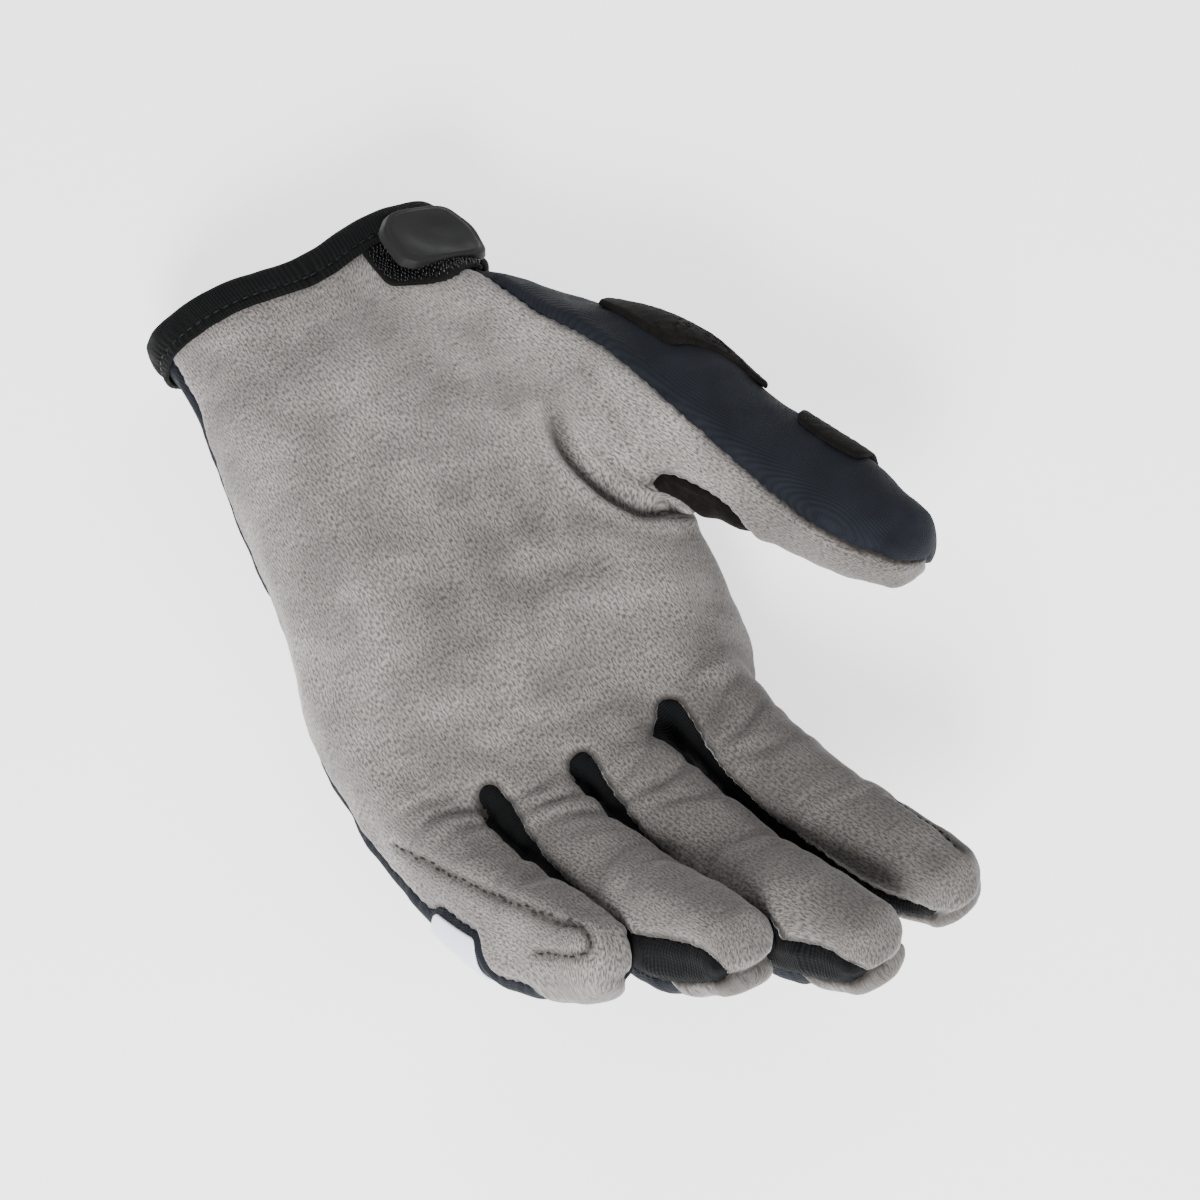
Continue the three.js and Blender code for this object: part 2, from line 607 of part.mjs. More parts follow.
// Outline of a piece on the wrist, from corners in shares of its length and width.
const wristOutline = (corners, length, width, radius, grow) =>
  roundedOutline(
    corners.map(([across, along]) => new THREE.Vector2(across * (length + 2 * grow), along * (width + 2 * grow))),
    radius,
  );

// Where the fastening sits on the wrist: x runs across it, z points out of the cloth.
const FASTENER_PLACE = new THREE.Matrix4()
  .makeTranslation(-0.325 * PALM_WIDTH, alongPalm(0.1), 0.75 * PALM_DEPTH)
  .multiply(new THREE.Matrix4().makeRotationY(THREE.MathUtils.degToRad(-24)))
  .multiply(new THREE.Matrix4().makeRotationZ(THREE.MathUtils.degToRad(-6)));
const FASTENER_DEEP = -0.3 * PALM_DEPTH;
const wristLayer = (column, low, high) =>
  palmSolid(-high, ...FINE.palm, 0).intersect(column).subtract(handSolid(-low, false, 0));
const TAB_CORNERS = [[-0.5, 0.5], [-0.53, -0.05], [-0.33, -0.5], [0.32, -0.5], [0.5, -0.2], [0.47, 0.36], [0.32, 0.5]];
const TAB_RISE = 0.85; // the raised field inside the tab's bevelled edge
const TAB_EDGE = 2.2;
const HOOK_CORNERS = [[-0.3, 0.4], [0.02, 0.95], [0.3, 0.95], [0.62, 0.5], [0.68, -0.46], [-0.3, -0.46]];

// The hook-and-loop patch, the strap that closes on it and the moulded tab on the strap's end.
const hookOutline = (grow) => wristOutline(HOOK_CORNERS, HOOK_PATCH_LENGTH, HOOK_PATCH_WIDTH, 3, grow);
function hookPatch() {
  const column = prism(hookOutline(0), FASTENER_DEEP, SPACE, FASTENER_PLACE);
  return largest(wristLayer(column, SEAM_GAP, SEAM_GAP + HOOK_PATCH_THICKNESS).subtract(bindingBlock(SEAM_GAP)));
}
const STRAP_LOW = SEAM_GAP + HOOK_PATCH_THICKNESS + SEAM_GAP;
const STRAP_HIGH = STRAP_LOW + STRAP_THICKNESS;
function strap() {
  const middle = alongPalm(STRAP_ALONG);
  const [low, high] = [middle - STRAP_WIDTH / 2, middle + STRAP_WIDTH / 2];
  const overPalm = box(
    new THREE.Vector3(-SPACE, low, 0.3 * PALM_DEPTH),
    new THREE.Vector3(STRAP_PALM_END * PALM_WIDTH, high, SPACE),
  );
  const overBack = box(
    new THREE.Vector3(-SPACE, low, -SPACE),
    new THREE.Vector3(STRAP_BACK_END * PALM_WIDTH, high, 0.3 * PALM_DEPTH + 1),
  );
  const patchRoom = prism(hookOutline(2 * SEAM_GAP), FASTENER_DEEP - 1, SPACE, FASTENER_PLACE);
  const under = handSolid(-STRAP_LOW, false, 0).intersect(patchRoom);
  const band = handSolid(-STRAP_HIGH, false, 0).intersect(overPalm.add(overBack));
  return largest(band.subtract(handSolid(-SEAM_GAP, false, 0)).subtract(under).subtract(bindingBlock(SEAM_GAP)));
}
const STRAP_ALONG = 0.115; // middle of the strap, as a share of PALM_LENGTH
const STRAP_PALM_END = -0.27; // ends of the strap, as shares of PALM_WIDTH
const STRAP_BACK_END = -0.02;
function closureTab() {
  const low = STRAP_HIGH + SEAM_GAP;
  const plate = (grow, from, to) => {
    const outline = wristOutline(TAB_CORNERS, TAB_LENGTH, TAB_WIDTH, 3.5, grow);
    return wristLayer(prism(outline, FASTENER_DEEP, SPACE, FASTENER_PLACE), low + from, low + to);
  };
  return largest(plate(0, 0, TAB_THICKNESS - TAB_RISE).add(plate(-TAB_EDGE, 0.4, TAB_THICKNESS)));
}

// The full ring that the cuff's binding fills, cloth and all. A positive grow makes it larger all round.
function bindingBlock(grow) {
  const outside = SEAM_GAP + BINDING_THICKNESS + grow;
  const inside = -(WALL + SEAM_GAP + BINDING_THICKNESS) - grow;
  const [rim, end] = [-BINDING_LIP - grow, BINDING_WIDTH + grow];
  const round = 0.45;
  const profile = [
    [outside - round, rim],
    [outside, rim + round],
    [outside, end - round],
    [outside - round, end],
    [inside + round, end],
    [inside, end - round],
    [inside, rim + round],
    [inside + round, rim],
  ];
  const sides = FINE.palm[1];
  const rings = Array.from({ length: sides }, (_, i) => {
    const angle = (2 * Math.PI * i) / sides;
    return profile.map(([out, forward]) => {
      const row = { along: 0 };
      for (const name of ["centre", "half", "floor", "crown"])
        row[name] = lookUp(PALM_SECTIONS, "along", Math.max(0, forward / PALM_LENGTH), name);
      return palmPoint(row, angle, -out).add(new THREE.Vector3(0, forward, 0));
    });
  });
  return closedLoop(rings);
}

// The knitted binding folded over the rim, with a U section.
function bindingSolid() {
  const cloth = handSolid(-SEAM_GAP, false, SEAM_GAP).subtract(handSolid(WALL + SEAM_GAP, true, CUFF_LEAD));
  return largest(bindingBlock(0).subtract(cloth));
}

// A closed ring of equal profiles, such as a band round a wrist.
function closedLoop(rings) {
  const [loops, count] = [rings.length, rings[0].length];
  const triangles = [];
  for (let r = 0; r < loops; r++)
    for (let i = 0; i < count; i++) {
      const [a, b] = [r * count + i, r * count + ((i + 1) % count)];
      const next = ((r + 1) % loops) * count;
      triangles.push(a, b, next + ((i + 1) % count), a, next + ((i + 1) % count), next + i);
    }
  return solidFrom(rings.flat(), triangles);
}

// A patch over part of a finger: a band of sections from one share of its length to another.
function fingerPatch(finger, from, to, limits, thickness) {
  const column = fingerBand(stations(finger, from, to, 7), limits);
  return largest(layer(column, SEAM_GAP, SEAM_GAP + thickness));
}

// Panels of the glove, cut from one hollow shell
const outside = handSolid(0, false, 0);
const inside = handSolid(WALL, true, CUFF_LEAD);
const shell = outside.subtract(inside);
const gussets = [
  ["index_middle_gusset", "index", "middle"],
  ["middle_ring_gusset", "middle", "ring"],
  ["ring_little_gusset", "ring", "little"],
].map(([name, first, second]) => {
  const region = (grow) =>
    join([
      gussetStrip(FINGERS[first], 1, grow),
      gussetStrip(FINGERS[second], -1, grow),
      gussetTongue(FINGERS[first], FINGERS[second], grow),
    ]);
  return { name, solid: largest(shell.intersect(region(0))), room: region(SEAM_GAP) };
});
const gussetRoom = join(gussets.map((gusset) => gusset.room));
const thumbGusset = largest(shell.intersect(thumbGussetRegion(0)));
const rest = shell.subtract(gussetRoom).subtract(thumbGussetRegion(SEAM_GAP));
const darts = dart(FINGERS.little, 1, 0.3, 0.94, 0.72).add(dart(FINGERS.index, -1, 0.72, 0.95, 0.8));
const palmPanel = largest(rest.intersect(palmSide(0)).subtract(darts));
const backPanel = largest(rest.subtract(palmSide(SEAM_GAP)));

// Suede patches on the thumb and the plain white patch on the back of the little finger
const thumbBasePatch = fingerPatch(
  FINGERS.thumb,
  0.3,
  0.62,
  (section) => {
    const spread = Math.sin((Math.PI * (section.share - 0.28)) / 0.36);
    const [low, high] = [-1.9 * section.halfWidth, (-0.95 + 0.3 * spread) * section.halfWidth];
    return [[low, -0.5 * section.halfDepth], [high, -0.9 * section.halfDepth], [high, 0.1 * section.halfDepth], [low, 0.7 * section.halfDepth]];
  },
  SUEDE_PATCH_THICKNESS,
);
const thumbKnucklePatch = fingerPatch(
  FINGERS.thumb,
  0.66,
  0.83,
  (section) => {
    const reach = 1.5 * section.halfWidth;
    return [[-reach, -2 * section.halfDepth], [reach, -2 * section.halfDepth], [reach, -0.35 * section.halfDepth], [-reach, -0.45 * section.halfDepth]];
  },
  SUEDE_PATCH_THICKNESS,
);
const fingerLabel = fingerPatch(
  FINGERS.little,
  0.5,
  0.78,
  (section) => {
    const [low, high] = [-1.4 * section.halfDepth, -0.6 * section.halfDepth];
    return [[0.1 * section.halfWidth, low], [1.4 * section.halfWidth, low], [1.4 * section.halfWidth, high], [0.1 * section.halfWidth, high]];
  },
  LABEL_THICKNESS,
);

// A named mesh of a solid in its colour.
function piece(name, solid, color, roughness) {
  const mesh = solid.getMesh();
  const positions = new Float32Array(mesh.numVert * 3);
  for (let i = 0; i < mesh.numVert; i++)
    positions.set(mesh.vertProperties.subarray(i * mesh.numProp, i * mesh.numProp + 3), i * 3);
  const geometry = new THREE.BufferGeometry();
  geometry.setAttribute("position", new THREE.BufferAttribute(positions, 3));
  geometry.setIndex(new THREE.BufferAttribute(new Uint32Array(mesh.triVerts), 1));
  geometry.computeVertexNormals();
  const material = new THREE.MeshStandardMaterial({ color, roughness, metalness: 0 });
  const made = new THREE.Mesh(geometry, material);
  made.name = name;
  return made;
}

const glove = new THREE.Group();
glove.name = "glove";
glove.add(piece("palm_panel", palmPanel, SUEDE_GREY, 0.95));
glove.add(piece("back_panel", backPanel, NAVY, 0.8));
for (const gusset of gussets) glove.add(piece(gusset.name, gusset.solid, BLACK_RIB, 0.75));
glove.add(piece("thumb_gusset", thumbGusset, BLACK_SUEDE, 0.95));
glove.add(piece("cuff_binding", bindingSolid(), BLACK_RIB, 0.8));
glove.add(piece("hook_patch", hookPatch(), BLACK_RIB, 0.9));
glove.add(piece("wrist_strap", strap(), BLACK_RIB, 0.85));
glove.add(piece("closure_tab", closureTab(), RUBBER_GREY, 0.5));
glove.add(piece("thumb_base_patch", thumbBasePatch, BLACK_SUEDE, 0.95));
glove.add(piece("thumb_knuckle_patch", thumbKnucklePatch, BLACK_SUEDE, 0.95));
glove.add(piece("finger_label", fingerLabel, WHITE, 0.4));

export default glove;
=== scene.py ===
"""Left-hand motocross glove, palm up: its visible model over the CAD frame.

The cloth is one smooth form, worked out as the union of rounded tubes (the body of the hand, four
fingers and the thumb). The form is cut along its seams into the panels that a glove maker sews:
grey suede palm, navy stretch back, ribbed gussets and a dark suede gusset in the thumb's fork.
The cuff's binding, the strap with its moulded tab, the hook patch and the suede patches lie on it.
Shapes are in millimetres until a mesh is made, and in metres from there.
"""
from __future__ import annotations

import logging
import math
from collections.abc import Callable, Sequence
from dataclasses import dataclass
from enum import Enum
from functools import cached_property
from typing import Any

import bpy
import numpy as np
from mathutils import Matrix, Vector

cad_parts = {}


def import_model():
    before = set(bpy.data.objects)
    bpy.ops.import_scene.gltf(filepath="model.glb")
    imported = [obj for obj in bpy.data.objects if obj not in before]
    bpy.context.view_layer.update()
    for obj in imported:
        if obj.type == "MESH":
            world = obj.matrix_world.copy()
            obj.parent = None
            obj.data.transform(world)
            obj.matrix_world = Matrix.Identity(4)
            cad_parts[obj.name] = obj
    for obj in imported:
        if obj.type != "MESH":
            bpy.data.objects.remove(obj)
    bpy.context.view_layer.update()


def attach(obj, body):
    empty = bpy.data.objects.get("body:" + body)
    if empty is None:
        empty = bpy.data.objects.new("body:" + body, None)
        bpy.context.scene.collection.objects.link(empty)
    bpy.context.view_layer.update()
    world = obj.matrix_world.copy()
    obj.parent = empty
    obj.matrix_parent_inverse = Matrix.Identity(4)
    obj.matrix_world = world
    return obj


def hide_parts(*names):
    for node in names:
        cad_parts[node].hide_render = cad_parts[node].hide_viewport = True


log = logging.getLogger("glove")
Array = np.ndarray
MM = 0.001

PALM_LENGTH = 149.0
PALM_WIDTH = 99.0
PALM_DEPTH = 39.0
CUFF_TO_ORIGIN = 86.0
# The weave's third number is the distance to a seam; this one stands for a piece without seams.
FAR_FROM_SEAM = 9.0


def curve_through(rows: Sequence[Sequence[float]], count: int) -> Array:
    """Catmull-Rom curve through the rows of a table, in every column at once.

    Args:
        rows: The table, one row per knot.
        count: How many rows the result has, evenly spaced over the knots.

    Returns:
        An array of count rows and as many columns as the table.
    """
    table = np.asarray(rows, float)
    padded = np.vstack([2 * table[0] - table[1], table, 2 * table[-1] - table[-2]])
    place = np.linspace(0, len(table) - 1, count)
    knot = np.minimum(place.astype(int), len(table) - 2)
    f = (place - knot)[:, None]
    a, b, c, d = (padded[knot + k] for k in range(4))
    cubic = (3 * b - a - 3 * c + d) * f**3 + (2 * a - 5 * b + 4 * c - d) * f**2
    return 0.5 * (2 * b + (c - a) * f + cubic)


def bell(distance: Array, width: float) -> Array:
    """Bell curve exp(-(distance / width)^2), which is 1 at no distance."""
    return np.exp(-((distance / width) ** 2))


def smooth_min(a: Array, b: Array, blend: float) -> Array:
    """The smaller of two fields, rounded over where they differ by less than blend."""
    overlap = np.maximum(blend - np.abs(a - b), 0.0) / blend
    return np.minimum(a, b) - overlap**2 * blend / 4


def smooth_step(value: Array, low: float, high: float) -> Array:
    """Ramp from 0 at low to 1 at high with level ends."""
    t = np.clip((value - low) / (high - low), 0.0, 1.0)
    return t * t * (3 - 2 * t)


def run_along(line: Array) -> Array:
    """Length of a line up to each of its points.

    Args:
        line: The line's points.

    Returns:
        The running sums of the distances between neighbours, from 0.
    """
    return np.concatenate([[0], np.cumsum(np.linalg.norm(np.diff(line, axis=0), axis=1))])


def superellipse(angle: Array, power: float) -> tuple[Array, Array]:
    """Point of |x|^n + |y|^n = 1 at an angle from Y: the sine and cosine to the power 2/n, signs kept.

    Args:
        angle: Angles, 0 at the top and positive towards +X.
        power: The exponent n.

    Returns:
        The offsets across and up.
    """
    sine, cosine = np.sin(angle), np.cos(angle)
    across = np.sign(sine) * np.abs(sine) ** (2 / power)
    up = np.sign(cosine) * np.abs(cosine) ** (2 / power)
    return across, up


def unit(vectors: Array) -> Array:
    """Vectors scaled to length 1 along the last axis."""
    return vectors / np.maximum(np.linalg.norm(vectors, axis=-1, keepdims=True), 1e-12)


def ripple(points: Array, wave: float, seed: int, octaves: int = 3) -> Array:
    """Smooth seeded noise in space: a sum of sine waves in turned directions.

    Args:
        points: Places in millimetres, one per row.
        wave: The longest wave in millimetres.
        seed: Seed of the directions and phases.
        octaves: How many times the wave is halved.

    Returns:
        A value for each point, mostly between -1 and 1.
    """
    rng = np.random.default_rng(seed)
    total = np.zeros(len(points))
    for octave in range(octaves):
        turns = unit(rng.normal(size=(5, 3))) * (2 * np.pi * 2**octave / wave)
        phases = rng.uniform(0, 2 * np.pi, 5)
        total += np.sin(points @ turns.T + phases).mean(axis=1) * 1.6 / 1.7**octave
    return total


@dataclass(frozen=True)
class Places:
    """Where points lie in the sections of one tube, in millimetres from its middle line."""

    share: Array
    across: Array
    up: Array
    beyond: Array
    half_width: Array
    half_depth: Array

    @property
    def around(self) -> Array:
        """Angle round the section: 0 on the palm side, positive towards the little finger."""
        return np.arctan2(self.across / self.half_width, self.up / self.half_depth)

    def distance(self, power: float, cap: float | Array) -> Array:
        """Distance to a superellipse tube along the ray from its middle line, negative inside.

        Args:
            power: The superellipse's exponent.
            cap: How far the tube's rounded end reaches, in millimetres.

        Returns:
            The length of the ray times (1 - 1/r), where the surface has r = 1.
        """
        flat = np.abs(self.across / self.half_width) ** power + np.abs(self.up / self.half_depth) ** power
        norm = np.sqrt(flat ** (2 / power) + (self.beyond / cap) ** 2) + 1e-9
        reach = np.sqrt(self.across**2 + self.up**2 + self.beyond**2)
        return reach * (1 - 1 / norm)


@dataclass(frozen=True)
class FingerPlan:
    """Measures of one finger. The rows' columns are along, side, rise, width, depth and roll."""

    name: str
    length: float
    width: float
    depth: float
    dome: float
    root: tuple[float, float, float]
    rows: tuple[tuple[float, ...], ...]


INDEX = FingerPlan("index", 114, 23, 24, 6, (0.725, -0.237, 0.385), (
    (0, 0, 0, 1, 1, 0), (0.211, 0, 0.018, 1, 0.96, 0), (0.386, 0.007, 0.061, 0.99, 0.94, 0),
    (0.561, 0.004, 0.118, 0.98, 0.93, 0), (0.719, -0.02, 0.175, 0.96, 0.92, -2),
    (0.851, -0.048, 0.228, 0.91, 0.87, -4), (0.956, -0.083, 0.272, 0.75, 0.7, -5)))
MIDDLE = FingerPlan("middle", 119, 23, 24, 6, (0.725, 0.01, 0.385), (
    (0, 0, 0, 1, 1, 0), (0.218, 0.004, 0.017, 1, 0.97, 0), (0.387, 0.008, 0.063, 1, 1, 0),
    (0.555, 0.003, 0.122, 1, 1, -3), (0.714, -0.013, 0.197, 0.99, 1, -6),
    (0.853, -0.038, 0.286, 0.96, 0.94, -8), (0.958, -0.071, 0.357, 0.78, 0.78, -8)))
RING = FingerPlan("ring", 109, 23, 24, 6, (0.698, 0.242, 0.385), (
    (0, 0, 0, 1, 1, 0), (0.239, 0, 0.018, 0.99, 0.97, -3), (0.422, 0.005, 0.06, 0.99, 1, -6),
    (0.596, -0.005, 0.133, 0.99, 1, -10), (0.748, -0.023, 0.225, 0.98, 1, -13),
    (0.872, -0.046, 0.317, 0.96, 0.94, -15), (0.959, -0.072, 0.394, 0.78, 0.77, -15)))
LITTLE = FingerPlan("little", 98, 22.4, 24, 6, (0.658, 0.449, 0.359), (
    (-0.3, -0.14, 0.02, 0.6, 0.6, 0), (0, -0.02, 0, 0.9, 0.96, 0),
    (0.245, 0.01, 0.02, 0.96, 0.94, -8), (0.429, 0.015, 0.056, 0.98, 0.98, -15),
    (0.592, 0.01, 0.112, 1, 1, -22), (0.745, -0.005, 0.194, 1, 1, -27),
    (0.867, -0.026, 0.286, 0.95, 0.93, -30), (0.954, -0.046, 0.367, 0.77, 0.75, -30)))
THUMB = FingerPlan("thumb", 126, 36, 36, 6.5, (0.161, -0.202, 0.513), (
    (0, 0, 0, 0.78, 0.83, 10), (0.175, -0.111, 0.016, 1, 1, 25),
    (0.365, -0.214, 0.04, 0.97, 1, 45), (0.556, -0.298, 0.087, 0.81, 0.83, 70),
    (0.714, -0.357, 0.123, 0.71, 0.74, 85), (0.857, -0.401, 0.159, 0.67, 0.66, 95),
    (0.96, -0.429, 0.183, 0.52, 0.5, 100)))


class FingerForm:
    """A finger or the thumb as a bent tube with superellipse sections and a domed tip."""

    power = 2.7
    root_cap = 8.0
    stations = 140

    def __init__(self, plan: FingerPlan) -> None:
        """Works out the frames along the middle line from the plan's rows."""
        self.plan = plan
        rows = curve_through(plan.rows, self.stations)
        along, side, rise = plan.root
        self.share = rows[:, 0]
        self.middle = np.stack([
            side * PALM_WIDTH + rows[:, 1] * plan.length,
            along * PALM_LENGTH - CUFF_TO_ORIGIN + rows[:, 0] * plan.length,
            rise * PALM_DEPTH + rows[:, 2] * plan.length,
        ], axis=1)
        self.tangent = unit(np.gradient(self.middle, axis=0))
        flat = unit(np.array([1.0, 0.0, 0.0]) - self.tangent * self.tangent[:, :1])
        high = np.cross(flat, self.tangent)
        turn = np.radians(rows[:, 5])[:, None]
        self.side = flat * np.cos(turn) + np.cross(self.tangent, flat) * np.sin(turn)
        self.face = high * np.cos(turn) + np.cross(self.tangent, high) * np.sin(turn)
        self.half_width = rows[:, 3] * plan.width / 2
        self.half_depth = rows[:, 4] * plan.depth / 2
        self.step = float(np.linalg.norm(np.diff(self.middle, axis=0), axis=1).mean())

    def _at(self, place: Array, values: Array) -> Array:
        """Reads a column of the frames between stations."""
        low = np.clip(place.astype(int), 0, self.stations - 2)
        f = place - low
        f = f[:, None] if values.ndim == 2 else f
        return values[low] * (1 - f) + values[low + 1] * f

    def places(self, points: Array) -> Places:
        """Finds points in the tube's own sections: the nearest station, then along its tangent.

        Args:
            points: Places in millimetres, one per row.

        Returns:
            The share of the length, and the offsets across, up and beyond the ends.
        """
        nearest = np.empty(len(points), int)
        squared = (self.middle**2).sum(axis=1)
        for start in range(0, len(points), 20000):
            block = points[start:start + 20000]
            nearest[start:start + 20000] = (squared - 2 * block @ self.middle.T).argmin(axis=1)
        ahead = ((points - self.middle[nearest]) * self.tangent[nearest]).sum(axis=1)
        place = np.clip(nearest + ahead / self.step, 0, self.stations - 1)
        offset = points - self._at(place, self.middle)
        ended = (place <= 0) | (place >= self.stations - 1)
        beyond = np.where(ended, (offset * self._at(place, self.tangent)).sum(axis=1), 0.0)
        return Places(
            share=self._at(place, self.share),
            across=(offset * self._at(place, self.side)).sum(axis=1),
            up=(offset * self._at(place, self.face)).sum(axis=1),
            beyond=beyond,
            half_width=self._at(place, self.half_width),
            half_depth=self._at(place, self.half_depth),
        )

    def distance(self, at: Places) -> Array:
        """Distance to the tube's surface, whose end is domed at the tip and rounder at the root."""
        return at.distance(self.power, np.where(at.beyond > 0, self.plan.dome, self.root_cap))

    def spots(self, rows: Sequence[Sequence[float]]) -> Array:
        """Points from rows of share, shares of the half width and half depth, and millimetres beyond."""
        share, across, up, beyond = np.asarray(rows, float).T
        place = np.interp(share, self.share, np.arange(self.stations))
        return (
            self._at(place, self.middle)
            + self._at(place, self.side) * (across * self._at(place, self.half_width))[:, None]
            + self._at(place, self.face) * (up * self._at(place, self.half_depth))[:, None]
            + self._at(place, self.tangent) * beyond[:, None]
        )

    def at(self, share: Array, around: Array, level: float | Array = 0.0, inset: float = 0.0) -> Array:
        """Points of the surface: a superellipse in the section at each share of the length.

        Args:
            share: Shares of the length. Past the last row they run on over the domed tip.
            around: Angles round the section, 0 on the palm side.
            level: Height over the surface in millimetres.
            inset: How much smaller than the surface the tube is.

        Returns:
            One point for each pair of share and angle.
        """
        share, around = np.broadcast_arrays(np.asarray(share, float), np.asarray(around, float))
        shape = share.shape
        flat_share, angle = share.ravel(), around.ravel()
        place = np.interp(flat_share, self.share, np.arange(self.stations))
        dome = self.plan.dome - inset
        past = np.clip((flat_share - self.share[-1]) * self.plan.length / dome, 0, 1)
        shrink = np.sqrt(1 - past**2)
        across, up = superellipse(angle, self.power)
        grow = np.asarray(level, float).ravel() if np.ndim(level) else float(level)
        across = across * (self._at(place, self.half_width) - inset) * shrink
        up = up * (self._at(place, self.half_depth) - inset) * shrink
        offset = self._at(place, self.side) * across[:, None] + self._at(place, self.face) * up[:, None]
        ahead = self._at(place, self.tangent) * (past * dome)[:, None]
        out = unit(offset + ahead)
        points = self._at(place, self.middle) + offset + ahead
        points = points + out * (grow[:, None] if np.ndim(grow) else grow)
        return points.reshape(*shape, 3)


class PalmForm:
    """The body of the hand: superellipse sections in planes across Y, as in the CAD source."""

    power = 2.6
    web_cap = 3.0
    rows = (
        (0, -0.04, 0.374, 0.141, 0.846), (0.107, -0.035, 0.374, 0.131, 0.897),
        (0.242, -0.02, 0.399, 0.066, 0.974), (0.409, -0.01, 0.444, -0.031, 1.0),
        (0.577, 0.015, 0.47, -0.038, 0.949), (0.725, 0.03, 0.5, -0.031, 0.872),
        (0.859, 0.056, 0.49, 0.013, 0.795), (0.953, 0.081, 0.46, 0.077, 0.744),
        (1.0, 0.081, 0.384, 0.179, 0.641),
    )

    @cached_property
    def table(self) -> Array:
        """The rows as a smooth curve: along, centre, half width, floor and crown."""
        return curve_through(self.rows, 160)

    def section(self, along: Array) -> tuple[Array, Array, Array, Array]:
        """Middle X and Z, half width and half depth of the sections at shares of the length."""
        table = self.table
        inside = np.clip(along, 0, 1)
        centre, half, floor, crown = (np.interp(inside, table[:, 0], table[:, k]) for k in range(1, 5))
        middle_z = (floor + crown) / 2 * PALM_DEPTH
        return centre * PALM_WIDTH, middle_z, half * PALM_WIDTH, (crown - floor) / 2 * PALM_DEPTH

    def places(self, points: Array) -> Places:
        """Finds points in the palm's own sections."""
        along = (points[:, 1] + CUFF_TO_ORIGIN) / PALM_LENGTH
        x, z, half_width, half_depth = self.section(along)
        return Places(
            share=along,
            across=points[:, 0] - x,
            up=points[:, 2] - z,
            beyond=np.maximum(points[:, 1] - (PALM_LENGTH - CUFF_TO_ORIGIN), 0),
            half_width=half_width,
            half_depth=half_depth,
        )

    def distance(self, at: Places) -> Array:
        """Distance to the palm's surface, which is rounded off between the fingers' roots."""
        return at.distance(self.power, self.web_cap)

    def at(self, along: Array, around: Array, level: float | Array = 0.0) -> Array:
        """Points of the palm's surface at shares of its length and angles round it.

        Args:
            along: Shares of the length, below 0 past the rim.
            around: Angles round the section, 0 on the palm side, positive towards +X.
            level: Height over the surface in millimetres.

        Returns:
            One point for each pair of share and angle.
        """
        along, around = np.broadcast_arrays(np.asarray(along, float), np.asarray(around, float))
        x, z, half_width, half_depth = self.section(along)
        across, up = superellipse(around, self.power)
        return np.stack([
            x + across * (half_width + level),
            along * PALM_LENGTH - CUFF_TO_ORIGIN,
            z + up * (half_depth + level),
        ], axis=-1)


def normals_of(points: Array, triangles: Array) -> Array:
    """Area-weighted normals at the points of a triangle mesh."""
    a, b, c = (points[triangles[:, k]] for k in range(3))
    faces = np.cross(b - a, c - a)
    total = np.stack([
        sum(np.bincount(triangles[:, k], faces[:, axis], len(points)) for k in range(3))
        for axis in range(3)
    ], axis=1)
    return unit(total)


def ironed(points: Array, triangles: Array, out: Array, rounds: int = 10) -> Array:
    """Relaxes the points of those triangles that a displacement has turned over.

    Args:
        points: The displaced points.
        triangles: The triangles.
        out: The normals that the points had before.
        rounds: How many times it is done at most.

    Returns:
        The points, all but the turned ones as they were.
    """
    for _ in range(rounds):
        a, b, c = (points[triangles[:, k]] for k in range(3))
        facing = np.einsum("ij,ij->i", unit(np.cross(b - a, c - a)), out[triangles[:, 0]])
        turned = np.unique(triangles[facing < 0.25])
        even = relaxed(points, triangles, 1.0)
        points = points.copy()
        points[turned] = even[turned]
    return points


def relaxed(points: Array, triangles: Array, share: float) -> Array:
    """Moves each point of a closed mesh a share of the way to the mean of its neighbours."""
    near, far = triangles.ravel(), triangles[:, [1, 2, 0]].ravel()
    count = np.bincount(near, minlength=len(points))[:, None]
    total = np.stack([np.bincount(near, points[far, axis], len(points)) for axis in range(3)], axis=1)
    return points + (total / np.maximum(count, 1) - points) * share


